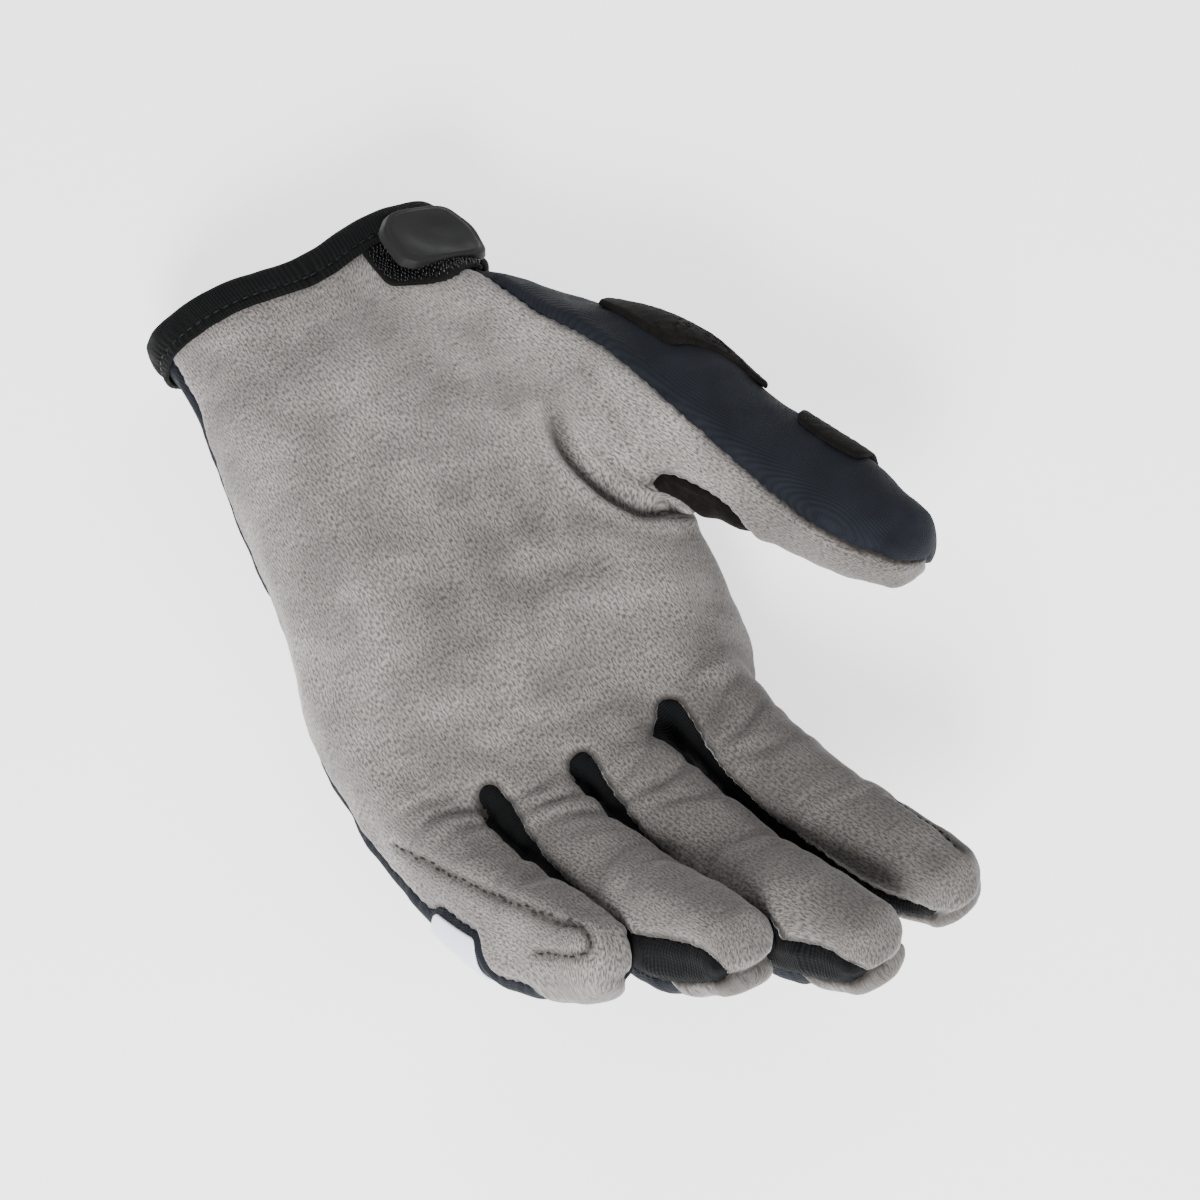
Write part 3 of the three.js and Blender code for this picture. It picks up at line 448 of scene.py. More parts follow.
class HandForm:
    """The whole hand: the body joined to each finger with a rounded fillet."""

    fillet = 4.5
    reach = 22.0

    def __init__(self) -> None:
        """Makes the body and the five tubes."""
        self.palm = PalmForm()
        self.fingers = {plan.name: FingerForm(plan) for plan in (INDEX, MIDDLE, RING, LITTLE, THUMB)}

    def parts(self, points: Array) -> tuple[dict[str, Places], dict[str, Array]]:
        """Places and distances of points for the palm and every finger."""
        places = {"palm": self.palm.places(points)}
        distances = {"palm": self.palm.distance(places["palm"])}
        for name, finger in self.fingers.items():
            places[name] = finger.places(points)
            distances[name] = finger.distance(places[name])
        return places, distances

    def union(self, distances: dict[str, Array]) -> Array:
        """Distance to the joined surface: each finger is filleted into the palm, not its neighbour."""
        palm = distances["palm"]
        joined = [smooth_min(palm, distances[name], self.fillet) for name in self.fingers]
        return np.minimum.reduce(joined)

    def distance(self, points: Array) -> Array:
        """Distance to the joined surface, with each finger worked out only near itself."""
        distances = {"palm": self.palm.distance(self.palm.places(points))}
        for name, finger in self.fingers.items():
            low = finger.middle.min(axis=0) - self.reach
            high = finger.middle.max(axis=0) + self.reach
            near = np.all((points > low) & (points < high), axis=1)
            value = np.full(len(points), self.reach)
            if near.any():
                value[near] = finger.distance(finger.places(points[near]))
            distances[name] = value
        return self.union(distances)

    def out(self, points: Array) -> Array:
        """Direction out of the surface, from differences of the distance over a short step."""
        step = 0.25
        here = self.distance(points)
        slopes = [self.distance(points + step * axis) - here for axis in np.eye(3)]
        return unit(np.stack(slopes, axis=1))

    @staticmethod
    def swell(thumb: Places) -> Array:
        """How far the thumb's base bulges out at its back edge, in millimetres: a product of bells."""
        along = np.exp(-(np.abs((thumb.share - 0.42) / 0.15) ** 2.6))
        angle = np.abs((thumb.around + 2.05) / 0.75)
        return 4.6 * along * np.exp(-(angle**2.6))

    def settle(self, points: Array, level: Array | float = 0.0, rounds: int = 3) -> tuple[Array, Array]:
        """Moves points along the slope of the distance until they lie at a height over the surface.

        Args:
            points: Starting places near the surface, one per row.
            level: The height over the surface in millimetres.
            rounds: How many steps are taken.

        Returns:
            The places and the directions out of the surface there.
        """
        for _ in range(rounds):
            out = self.out(points)
            points = points + out * (level - self.distance(points))[:, None]
        return points, self.out(points)


def grid_triangles(rows: int, columns: int, wrapped: bool = False) -> Array:
    """Triangles of a grid of points, closed round its columns where it is wrapped."""
    last = columns if wrapped else columns - 1
    row, column = np.meshgrid(np.arange(rows - 1), np.arange(last), indexing="ij")
    next_column = (column + 1) % columns
    a, b = row * columns + column, row * columns + next_column
    c, d = a + columns, b + columns
    return np.concatenate([np.stack([a, b, d], -1).reshape(-1, 3), np.stack([a, d, c], -1).reshape(-1, 3)])


def end_fans(first: int, rows: int, columns: int) -> list[Array]:
    """Fans of triangles that close both ends of a wrapped grid.

    Args:
        first: Index of the grid's first point.
        rows: Rows of the grid, from end to end.
        columns: Points round it.

    Returns:
        The fan of the first row and that of the last.
    """
    fan = np.stack([np.zeros(columns - 2, int), np.arange(2, columns), np.arange(1, columns - 1)], 1)
    return [fan + first, fan[:, ::-1] + first + (rows - 1) * columns]


def mesh_object(name: str, points: Array, faces: Array, smooth: bool = True) -> bpy.types.Object:
    """Makes a mesh object from points in millimetres and faces, with foreach_set.

    Args:
        name: Name of the object and its mesh.
        points: One point per row, in millimetres.
        faces: One face per row, as indices of its corners.
        smooth: Whether the faces are shaded smooth.

    Returns:
        The new object, linked to the scene.
    """
    mesh = bpy.data.meshes.new(name)
    corners = faces.shape[1]
    mesh.vertices.add(len(points))
    mesh.vertices.foreach_set("co", np.asarray(points * MM, np.float32).ravel())
    mesh.loops.add(faces.size)
    mesh.loops.foreach_set("vertex_index", np.asarray(faces, np.int32).ravel())
    mesh.polygons.add(len(faces))
    mesh.polygons.foreach_set("loop_start", np.arange(0, faces.size, corners, dtype=np.int32))
    mesh.polygons.foreach_set("use_smooth", np.full(len(faces), smooth))
    mesh.update(calc_edges=True)
    mesh.validate()
    made = bpy.data.objects.new(name, mesh)
    bpy.context.scene.collection.objects.link(made)
    return made


def store(piece: bpy.types.Object, name: str, values: Array) -> None:
    """Keeps a vector for each point of a piece as a mesh attribute."""
    layer = piece.data.attributes.new(name, "FLOAT_VECTOR", "POINT")
    layer.data.foreach_set("vector", np.asarray(values, np.float32).ravel())


class ClothMesh:
    """A triangle mesh whose points carry named columns, and which can be cut along a column's zero."""

    def __init__(self, points: Array, triangles: Array) -> None:
        """Starts with the columns x, y and z."""
        self.data = points.copy()
        self.names = ["x", "y", "z"]
        self.triangles = triangles

    @property
    def points(self) -> Array:
        """The places of the points."""
        return self.data[:, :3]

    def add(self, **columns: Array) -> None:
        """Adds columns of values at the points."""
        self.data = np.hstack([self.data, *(values[:, None] for values in columns.values())])
        self.names += list(columns)

    def get(self, name: str) -> Array:
        """The values of one column."""
        return self.data[:, self.names.index(name)]

    def cut(self, name: str, snap: float = 0.12) -> None:
        """Splits the triangles that a column's zero line crosses, so that it runs along edges.

        Args:
            name: The column.
            snap: Points whose value is smaller than this are taken to lie on the line.
        """
        column = self.names.index(name)
        values = self.data[:, column]
        values[np.abs(values) < snap] = 0.0
        triangles = self.triangles
        pairs = np.stack([triangles[:, [0, 1]], triangles[:, [1, 2]], triangles[:, [2, 0]]], axis=1)
        sign = np.sign(values)
        crossed = sign[pairs[..., 0]] * sign[pairs[..., 1]] < 0
        edges, place = np.unique(np.sort(pairs[crossed], axis=1), axis=0, return_inverse=True)
        a, b = edges.T
        f = (values[a] / (values[a] - values[b]))[:, None]
        fresh = self.data[a] * (1 - f) + self.data[b] * f
        fresh[:, column] = 0.0
        middle = np.full(crossed.shape, -1)
        middle[crossed] = len(self.data) + place.reshape(-1)
        count = crossed.sum(axis=1)
        pieces = [triangles[count == 0]]
        for wanted, first in ((1, crossed), (2, ~crossed)):
            chosen = count == wanted
            turn = first[chosen].argmax(axis=1)[:, None]
            rows = np.arange(len(turn))[:, None]
            order = (turn + np.arange(3)) % 3
            p = triangles[chosen][rows, order]
            m = middle[chosen][rows, order]
            if wanted == 1:
                pieces += [np.stack([p[:, 0], m[:, 0], p[:, 2]], 1), np.stack([m[:, 0], p[:, 1], p[:, 2]], 1)]
            else:
                pieces += [
                    np.stack([p[:, 0], p[:, 1], m[:, 1]], 1),
                    np.stack([p[:, 0], m[:, 1], m[:, 2]], 1),
                    np.stack([m[:, 2], m[:, 1], p[:, 2]], 1),
                ]
        self.data = np.vstack([self.data, fresh])
        self.triangles = np.vstack(pieces)

    def sides(self, name: str) -> Array:
        """Mean value of a column over each triangle, whose sign says on which side of the cut it is."""
        return self.get(name)[self.triangles].mean(axis=1)

    def part(self, chosen: Array) -> tuple[Array, Array]:
        """Points used by the chosen triangles, and those triangles counted over them."""
        triangles = self.triangles[chosen]
        used, index = np.unique(triangles, return_inverse=True)
        return used, index.reshape(triangles.shape)


class Panel(Enum):
    """The panels that the cloth is cut into, each named as its CAD node."""

    PALM = "palm_panel"
    BACK = "back_panel"
    INDEX_MIDDLE = "index_middle_gusset"
    MIDDLE_RING = "middle_ring_gusset"
    RING_LITTLE = "ring_little_gusset"
    THUMB = "thumb_gusset"


@dataclass(frozen=True)
class Fold:
    """A crease in the cloth along a path on it, with the cloth pushed up beside it."""

    path: tuple[tuple[float, float, float], ...]
    depth: float
    width: float
    bulge: float = 0.0

    def lift(self, points: Array) -> Array:
        """Height over the surface: minus depth times a bell of the distance to the path."""
        line = curve_through(self.path, 80)
        low, high = line.min(axis=0) - 6 * self.width, line.max(axis=0) + 6 * self.width
        near = np.all((points > low) & (points < high), axis=1)
        lift = np.zeros(len(points))
        gaps = np.linalg.norm(points[near][:, None, :] - line[None], axis=2)
        closest = gaps.argmin(axis=1)
        distance = gaps[np.arange(len(gaps)), closest]
        fade = np.sqrt(np.sin(np.pi * np.clip((closest + 1) / 82, 0, 1)))
        shape = -self.depth * bell(distance, self.width)
        shape += self.bulge * bell(distance - 2.1 * self.width, 1.2 * self.width)
        lift[near] = shape * fade
        return lift


@dataclass(frozen=True)
class GussetPlan:
    """One gusset between two fingers, its heights as shares of the finger's half depth."""

    panel: Panel
    first: str
    second: str
    tongue: tuple[float, float]
    top: tuple[tuple[float, float], ...]
    end: float = 1.0
    point: float = -0.3
    bottom: float = -0.55


GUSSETS = (
    GussetPlan(Panel.INDEX_MIDDLE, "index", "middle", (-12.6, 55.4), (
        (0.3, 0.8), (0.4, 0.73), (0.454, 0.66), (0.587, 0.52), (0.711, 0.39), (0.82, 0.24),
        (0.913, 0.06), (1.0, -0.02)), end=0.985, point=-0.12),
    GussetPlan(Panel.MIDDLE_RING, "middle", "ring", (11.0, 56.2), (
        (0.3, 0.82), (0.39, 0.74), (0.473, 0.69), (0.6, 0.55), (0.75, 0.36), (0.867, 0.25),
        (0.931, 0.38), (1.0, 0.3))),
    GussetPlan(Panel.RING_LITTLE, "ring", "little", (32.2, 51.4), (
        (0.3, 0.84), (0.408, 0.82), (0.513, 0.68), (0.581, 0.62), (0.662, 0.52), (0.815, 0.24),
        (0.884, 0.4), (1.0, 0.48))),
)
# Seam on the body: share of the length, X limit as a share of the width, heights on both sides
# as shares of the depth.
PALM_SEAM = np.array([
    (-0.1, -0.37, 0.48, 0.63), (0.12, -0.37, 0.47, 0.6), (0.24, -0.38, 0.46, 0.5), (0.34, -0.41, 0.44, 0.42),
    (0.43, -0.465, 0.42, 0.4), (0.55, -0.5, 0.38, 0.36), (0.64, -0.525, 0.34, 0.34),
    (0.74, -0.6, 0.34, 0.33), (0.99, -0.7, 0.4, 0.37),
])
# Seam on the thumb: share of the length, angle round the section.
THUMB_SEAM = np.array([
    (0.135, -0.6), (0.194, -0.63), (0.239, -0.71), (0.354, -0.8), (0.484, -0.85), (0.582, -0.82),
    (0.685, -0.74), (0.756, -0.65), (0.812, -0.61), (0.872, -0.62), (0.927, -0.64), (0.97, -0.8),
    (1.0, -1.2),
])
# Darts sewn in the suede of the little and index fingers: share of the length, offsets across and up
# as shares of the half width and half depth, and millimetres beyond the last row.
DARTS = {
    "little": (
        (0.42, 0.99, 0.35, 0), (0.5, 0.95, 0.52, 0), (0.57, 0.9, 0.62, 0), (0.646, 0.85, 0.68, 0),
        (0.772, 0.8, 0.75, 0), (0.908, 0.74, 0.81, 0), (0.954, 0.54, 0.91, 1.0), (0.954, 0.47, 0.64, 4.1),
        (0.954, 0.56, 0.38, 4.7), (0.954, 0.8, 0.26, 3.4), (0.945, 0.97, 0.18, 0.5), (0.9, 1.0, 0.08, 0)),
    "index": (
        (0.79, -0.8, 0.74, 0), (0.83, -0.77, 0.78, 0), (0.88, -0.77, 0.78, 0), (0.93, -0.68, 0.85, 0),
        (0.956, -0.6, 0.86, 1.0)),
}
# Crease across a fingertip, between its pad and its back, in the same columns as a dart.
TIP_FOLD = (
    (1.0, 0.98, -0.3, 0.5), (1.0, 0.8, -0.33, 2.4), (1.0, 0.4, -0.36, 4.6), (1.0, 0, -0.36, 5.4),
    (1.0, -0.4, -0.3, 4.8), (1.0, -0.75, -0.2, 3.0))
# Creases across a finger's front: share of the length, depth, tilt.
FLEX_FOLDS = ((0.39, 0.6, 0.25), (0.46, 0.85, 0.1), (0.53, 0.6, -0.15), (0.7, 0.55, 0.12), (0.76, 0.4, -0.1))


def rim_of(x: Array, up_share: Array) -> Array:
    """Y of the cuff's rim: slanted across the wrist, with a dip in the middle of the palm side."""
    dip = 3.5 * bell(x + 4, 13) * np.maximum(up_share, 0)
    return -CUFF_TO_ORIGIN - 0.06 * x + dip


@dataclass
class Cloth:
    """The sewn cloth of the glove: one form cut along its seams into panels."""

    hand: HandForm
    voxel: float = 1.0
    wall: float = 1.4
    seam_depth: float = 0.75
    seam_width: float = 1.15
    stitch_pitch: float = 2.9
    fork: float = 58.0
    tongue_half: float = 2.2
    folds: tuple[Fold, ...] = (
        # The deep crease round the ball of the thumb, and the slack beside it.
        Fold(((-32, -21.3, 38.4), (-31.2, -16.8, 36.6), (-29.4, -11.1, 35.3), (-28.8, -4, 34.7),
              (-30.4, 3.8, 33.5), (-33.9, 10.8, 31.6), (-38.1, 14.8, 29.4), (-45.2, 16.4, 26),
              (-49, 16.5, 24)), 3.4, 1.9, 1.0),
        Fold(((-28, -26, 37), (-26.5, -12, 35), (-27, 2, 34), (-31, 12, 32), (-38, 18, 28)), 1.2, 6.5),
        # The narrow ridge on the ball of the thumb, with a valley on its thumb side.
        Fold(((-40, -24, 43), (-38.8, -16.9, 42.2), (-37.7, -11.6, 40.5), (-37, -5.5, 37.8)), -0.75, 1.3),
        Fold(((-42, -23, 43.6), (-40.9, -15, 42.4), (-39.9, -9, 40.8), (-39.6, -1, 38),
              (-40, 4, 36)), 1.0, 1.5),
        # Broad hollows and ridges across the palm.
        Fold(((1, 16, 34.8), (-2.4, 17.5, 34.7), (-10.3, 17.7, 34.5), (-17, 19.7, 33.7),
              (-25, 25.3, 32)), 1.3, 4.6),
        Fold(((8, 21, 34), (-6.6, 23.8, 33.8), (-19.7, 28.5, 32.2), (-33.2, 32.5, 28.8)), -0.7, 3.6),
        Fold(((-17.1, -17.2, 38), (-14.1, -4.3, 37.1), (-13.5, 6.7, 35.8), (-15.1, 14.5, 34.6)), 0.9, 5.0),
        Fold(((-18.3, -52, 37), (-17, -35.8, 38.4), (-21.4, -23.8, 37.9)), 0.7, 4.5),
        Fold(((12, -60, 36), (16, -40, 38), (14, -18, 38)), 0.6, 8.0),
        # Short folds where the fingers start.
        Fold(((-38, 36, 25), (-34, 42, 27), (-28.3, 48.4, 28.6), (-21.7, 53.6, 30.5),
              (-16.4, 56.4, 30)), 1.1, 2.4),
        Fold(((-18.5, 55.2, 30.6), (-22.4, 55.7, 30.6), (-28.4, 55.4, 30.1), (-33, 52, 28)), -0.8, 2.3),
        Fold(((-2, 47, 30.5), (6, 49, 31), (14, 46, 30.5), (20, 40, 30)), 0.8, 2.6),
        Fold(((20, 46, 30.5), (27, 45, 30), (33, 40, 29)), 0.8, 2.4),
    )
    inset: float = 0.9
    weight_blend: float = 1.6
    weave_blend: float = 3.5
    fork_gusset_at: tuple[float, float] = (0.61, 0.74)
    fork_gusset_half: tuple[float, float] = (0.09, 0.62)
    fork_gusset_reach: float = 9.0
    hollow_at: tuple[float, float] = (8.0, 3.4)
    hollow_depth: float = 2.2
    hollow_width: float = 27.0

    def _skin(self) -> tuple[Array, Array]:
        """Skin of all the tubes together: a voxel remesh, then steps onto the filleted form.

        Returns:
            Points in millimetres and triangles, open nowhere.
        """
        points: list[Array] = []
        triangles: list[Array] = []
        count = 0
        around = np.linspace(0, 2 * np.pi, 49)[:-1]
        for finger in self.hand.fingers.values():
            dome = finger.plan.dome / finger.plan.length
            share = np.concatenate([
                np.linspace(finger.share[0], finger.share[-1], 60),
                finger.share[-1] + dome * np.array([0.3, 0.55, 0.75, 0.9, 0.97]),
            ])
            grid = finger.at(share[:, None], around[None, :], inset=self.inset)
            points.append(grid.reshape(-1, 3))
            triangles += [grid_triangles(len(share), len(around), wrapped=True) + count,
                          *end_fans(count, len(share), len(around))]
            count += grid.size // 3
        along = np.linspace(-0.08, 1.0, 60)
        grid = self.hand.palm.at(along[:, None], around[None, :], -self.inset)
        points.append(grid.reshape(-1, 3))
        triangles += [grid_triangles(len(along), len(around), wrapped=True) + count,
                      *end_fans(count, len(along), len(around))]
        rough = mesh_object("cloth_rough", np.vstack(points) / MM, np.vstack(triangles))
        remesh = rough.modifiers.new("skin", "REMESH")
        remesh.mode = "VOXEL"
        remesh.voxel_size = self.voxel
        evaluated = rough.evaluated_get(bpy.context.evaluated_depsgraph_get())
        mesh = evaluated.to_mesh()
        mesh.calc_loop_triangles()
        found = np.empty(len(mesh.vertices) * 3, np.float32)
        mesh.vertices.foreach_get("co", found)
        corners = np.empty(len(mesh.loop_triangles) * 3, np.int32)
        mesh.loop_triangles.foreach_get("vertices", corners)
        evaluated.to_mesh_clear()
        bpy.data.objects.remove(rough)
        skin, faces = found.reshape(-1, 3).astype(float), corners.reshape(-1, 3)
        for number in range(9):
            step = np.clip(self.hand.distance(skin) * 0.8, -0.7, 0.7)
            skin = skin - normals_of(skin, faces) * step[:, None]
            if number < 6:
                skin = relaxed(skin, faces, 0.35)
        for _ in range(14):
            even = relaxed(skin, faces, 1.0)
            spiky = np.linalg.norm(even - skin, axis=1) > 0.28
            skin[spiky] = even[spiky]
        return skin, faces

    def _weights(self, distances: dict[str, Array]) -> dict[str, Array]:
        """Share that each tube has in a point, from how much nearer its surface is than the others'."""
        nearest = np.minimum.reduce(list(distances.values()))
        raw = {name: np.exp(-(value - nearest) / self.weight_blend) for name, value in distances.items()}
        total = sum(raw.values())
        return {name: value / total for name, value in raw.items()}

    def _palm_side(self, points: Array, places: dict[str, Places], weights: dict[str, Array]) -> Array:
        """Millimetres over the seam between palm and back, positive on the palm's side of it."""
        body = places["palm"]
        across_at = np.interp(body.share, PALM_SEAM[:, 0], PALM_SEAM[:, 1]) * PALM_WIDTH
        near = np.interp(body.share, PALM_SEAM[:, 0], PALM_SEAM[:, 2]) * PALM_DEPTH
        far = np.interp(body.share, PALM_SEAM[:, 0], PALM_SEAM[:, 3]) * PALM_DEPTH
        blend = smooth_step(body.across / body.half_width, -0.5, 0.5)
        on_body = smooth_min(points[:, 2] - near - (far - near) * blend, points[:, 0] - across_at, 3.0)
        total = weights["palm"] * on_body
        for name, finger in self.hand.fingers.items():
            at = places[name]
            radius = (at.half_width + at.half_depth) / 2
            over_tip = at.share + at.beyond / finger.plan.length
            if name == "thumb":
                seam = np.interp(at.share, THUMB_SEAM[:, 0], THUMB_SEAM[:, 1])
                flat = np.minimum(at.around - seam, 1.8 - at.around) * radius
                low = smooth_step(at.share, 0.2, 0.32)
                flat = flat * low + on_body * (1 - low)
                wrap = (over_tip - 1.03) * finger.plan.length
            else:
                limit = 1.86
                if name == "little":
                    # The suede leaves room for the label, and reaches further round beyond it.
                    room = smooth_step(at.share, 0.56, 0.62) - smooth_step(at.share, 0.735, 0.765)
                    beyond = smooth_step(at.share, 0.75, 0.79)
                    limit = limit + (at.across > 0) * (0.4 * beyond - 0.3 * room)
                flat = (limit - np.abs(at.around)) * radius
                wrap = (over_tip - 0.885) * finger.plan.length
            total = total + weights[name] * -smooth_min(-flat, -wrap, 2.0)
        return total

    def _gusset(
        self, points: Array, places: dict[str, Places], distances: dict[str, Array], gusset: GussetPlan,
    ) -> Array:
        """Millimetres inside a gusset: strips on the facing sides of two fingers and their tongue."""
        strips = []
        for name, side in ((gusset.first, 1.0), (gusset.second, -1.0)):
            at = places[name]
            over_tip = at.share + np.maximum(at.beyond, 0) / self.hand.fingers[name].plan.length
            run = np.clip((over_tip - 0.86) / (gusset.end - 0.86), 0, 1)
            tall = np.sqrt(1 - run**4)
            top = gusset.point + (np.interp(over_tip, *zip(*gusset.top, strict=True)) - gusset.point) * tall
            bottom = gusset.point + (gusset.bottom - gusset.point) * tall
            height = at.up / at.half_depth
            strip = np.minimum((top - height), (height - bottom)) * at.half_depth
            strip = np.minimum(strip, side * at.across - 0.1 * at.half_width)
            strip = np.minimum(strip, (gusset.end - over_tip) * self.hand.fingers[name].plan.length)
            others = [value for other, value in distances.items() if other not in (name, "palm")]
            strip = np.minimum(strip, np.minimum.reduce(others) - distances[name] + 1.5)
            # Where it leaves the tongue the strip is as narrow as the tongue, and it widens from there.
            aside = np.abs(points[:, 0] - gusset.tongue[0])
            spread = self.tongue_half + 1.1 * (points[:, 1] - self.fork) - aside
            strip = np.minimum(strip, np.where(at.share < 0.5, spread, strip))
            strips.append(np.minimum(strip, points[:, 1] - self.fork))
        x, y = gusset.tongue
        reach = np.clip(points[:, 1], y + self.tongue_half, self.fork + 15)
        lean = x + 0.05 * (reach - y)
        # Between the fingers the tongue narrows and runs out into the two strips.
        half = self.tongue_half * (1 - 0.7 * smooth_step(reach, self.fork, self.fork + 14))
        capsule = half - np.hypot(points[:, 0] - lean, points[:, 1] - reach)
        tongue = np.minimum(capsule, points[:, 2] - 14)
        return -smooth_min(-np.maximum(*strips), -tongue, 1.6)

    def _thumb_gusset(self, thumb: Places, distances: dict[str, Array]) -> Array:
        """Millimetres inside the thumb's gusset, a blunt lens on the side that faces the palm."""
        length = (thumb.share - self.fork_gusset_at[0]) / self.fork_gusset_half[0]
        width = (thumb.around - self.fork_gusset_at[1]) / self.fork_gusset_half[1]
        lens = (1 - (np.abs(length) ** 3 + np.abs(width) ** 3) ** (1 / 3)) * self.fork_gusset_reach
        return np.minimum(lens, np.minimum(distances["palm"] - 2.3, 3.0 - distances["thumb"]))

    def _weave(
        self, places: dict[str, Places], distances: dict[str, Array], facing: float
    ) -> tuple[Array, Array]:
        """Coordinates in the flat cloth in millimetres: across the hand, and along each finger.

        Args:
            places: Where the points lie in each tube.
            distances: Their distance to each tube.
            facing: 1 to unroll the cloth from the palm side's middle, -1 from the back's.

        Returns:
            The coordinates across and along.
        """
        nearest = np.minimum.reduce(list(distances.values()))
        raw = {name: np.exp(-(value - nearest) / self.weave_blend) for name, value in distances.items()}
        total = sum(raw.values())
        across, along = 0.0, 0.0
        for name, at in places.items():
            # Past the section's shoulder the cloth runs on down its side.
            shoulder = smooth_step(np.abs(at.across) / at.half_width, 0.5, 1.0)
            shoulder = np.where(facing * at.up > 0, shoulder, 1.0)
            down = at.half_depth - facing * at.up
            tip = np.clip(at.beyond / 5, 0, 1) if name != "palm" else 0.0
            rolled = at.across + np.sign(at.across) * down * shoulder * (1 - tip)
            if name == "palm":
                start = self.hand.palm.section(at.share)[0]
                run = at.share * PALM_LENGTH - CUFF_TO_ORIGIN
            else:
                finger = self.hand.fingers[name]
                arc = run_along(finger.middle)
                root = int(np.searchsorted(finger.share, 0.33))
                start = finger.middle[root, 0]
                run = finger.middle[root, 1] + np.interp(at.share, finger.share, arc - arc[root]) + at.beyond
                run = run + down * tip
            across = across + raw[name] / total * (rolled + start)
            along = along + raw[name] / total * run
        return across, along

    def _relief(self, points: Array, places: dict[str, Places], weights: dict[str, Array]) -> Array:
        """Height of the folds, the flexing creases of the fingers and the slack of the cloth."""
        lift = sum(fold.lift(points) for fold in self.folds)
        lift = lift + self.hand.swell(places["thumb"]) * smooth_step(weights["thumb"], 0.3, 0.7)
        body = places["palm"]
        hollow = np.hypot(points[:, 0] - self.hollow_at[0], points[:, 1] - self.hollow_at[1])
        facing = np.clip(body.up / body.half_depth, 0, 1)
        lift = lift - self.hollow_depth * bell(hollow, self.hollow_width) * facing
        lift = lift + 0.45 * ripple(points, 34, 11, 2) + 0.16 * ripple(points, 11, 12, 2)
        for number, (name, finger) in enumerate(self.hand.fingers.items()):
            at = places[name]
            if name == "thumb":
                continue
            front = np.clip(np.cos(at.around), 0, 1) * (at.share > 0.3)
            # The creases fade out where the cloth is no longer this finger's own.
            from_middle = np.hypot(at.across / at.half_width, at.up / at.half_depth)
            inside = np.exp(-np.maximum(from_middle - 1.1, 0) * 8)
            along = at.share * finger.plan.length
            for fold_number, (share, depth, tilt) in enumerate(FLEX_FOLDS):
                bend = 2.2 * np.sin(at.across * 0.21 + number + fold_number)
                gap = along - share * finger.plan.length - tilt * at.across - bend
                lift = lift - depth * (bell(gap, 1.7) - 0.5 * bell(gap - 3.4, 2.0)) * front * inside
        for name in ("index", "middle", "ring"):
            path = tuple(tuple(spot) for spot in self.hand.fingers[name].spots(TIP_FOLD))
            lift = lift + Fold(path, 1.5, 1.6, 0.5).lift(points)
        return lift

    def _from_darts(self, points: Array) -> Array:
        """Distance to the nearest dart sewn in the suede, at most 6 mm."""
        nearest = np.full(len(points), 6.0)
        for name, rows in DARTS.items():
            line = curve_through(self.hand.fingers[name].spots(rows), 160)
            near = np.all((points > line.min(axis=0) - 6) & (points < line.max(axis=0) + 6), axis=1)
            gaps = np.linalg.norm(points[near][:, None] - line[None], axis=2).min(axis=1)
            nearest[near] = np.minimum(nearest[near], gaps)
        return nearest

    def build(self) -> dict[Panel, bpy.types.Object]:
        """Makes the skin, cuts it along the seams and turns each part into a walled panel.

        Returns:
            The panels' objects.
        """
        points, triangles = self._skin()
        places, distances = self.hand.parts(points)
        weights = self._weights(distances)
        out = normals_of(points, triangles)
        across, along = self._weave(places, distances, 1.0)
        back_across, back_along = self._weave(places, distances, -1.0)
        scallop = 0.1 * np.sin(2 * np.pi * along / self.stitch_pitch) + 0.13 * ripple(points, 4, 3, 2)
        cloth = ClothMesh(points, triangles)
        cloth.add(
            nx=out[:, 0], ny=out[:, 1], nz=out[:, 2],
            rim=points[:, 1] - rim_of(points[:, 0], places["palm"].up / places["palm"].half_depth),
            palm=self._palm_side(points, places, weights) + scallop,
            thumb_gusset=self._thumb_gusset(places["thumb"], distances) + 0.4 * scallop,
            dart=self._from_darts(points), lift=self._relief(points, places, weights),
            across=across, along=along, back_across=back_across, back_along=back_along,
            **{plan.panel.value: self._gusset(points, places, distances, plan) + 0.4 * scallop
               for plan in GUSSETS},
        )
        seams = [plan.panel.value for plan in GUSSETS] + ["thumb_gusset"]
        for name in ["rim", *seams, "palm"]:
            cloth.cut(name)
        inside = {name: cloth.get(name) for name in seams}
        deepest = np.maximum.reduce(list(inside.values()))
        gap = np.where(deepest > 0, deepest, np.minimum(np.abs(cloth.get("palm")), -deepest))
        gap = np.minimum(gap, 0.1 + 0.9 * cloth.get("dart"))
        pitch = 1 + 0.2 * np.cos(2 * np.pi * cloth.get("along") / self.stitch_pitch)
        groove = self.seam_depth * bell(gap, self.seam_width) * pitch
        puff = 0.28 * bell(gap - 2.6, 1.7)
        shaped = cloth.points + cloth.data[:, 3:6] * (cloth.get("lift") - groove + puff)[:, None]
        shaped = ironed(shaped, cloth.triangles, cloth.data[:, 3:6])
        shaped[:, 2] = (shaped[:, 2] + np.sqrt(shaped[:, 2] ** 2 + 0.5)) / 2
        kept = cloth.sides("rim") > 0
        sides = np.stack([cloth.sides(name) for name in seams], axis=1)
        winner = np.where(sides.max(axis=1) > 0, sides.argmax(axis=1), -1)
        masks = {plan.panel: kept & (winner == k) for k, plan in enumerate(GUSSETS)}
        masks[Panel.THUMB] = kept & (winner == len(GUSSETS))
        masks[Panel.PALM] = kept & (winner < 0) & (cloth.sides("palm") > 0)
        masks[Panel.BACK] = kept & (winner < 0) & (cloth.sides("palm") <= 0)
        panels: dict[Panel, bpy.types.Object] = {}
        for panel, mask in masks.items():
            used, faces = cloth.part(mask)
            side = "back_" if panel is Panel.BACK else ""
            weave = np.stack([cloth.get(side + "across"), cloth.get(side + "along"), gap], axis=1)
            piece = mesh_object(f"cloth_{panel.value}", shaped[used], faces)
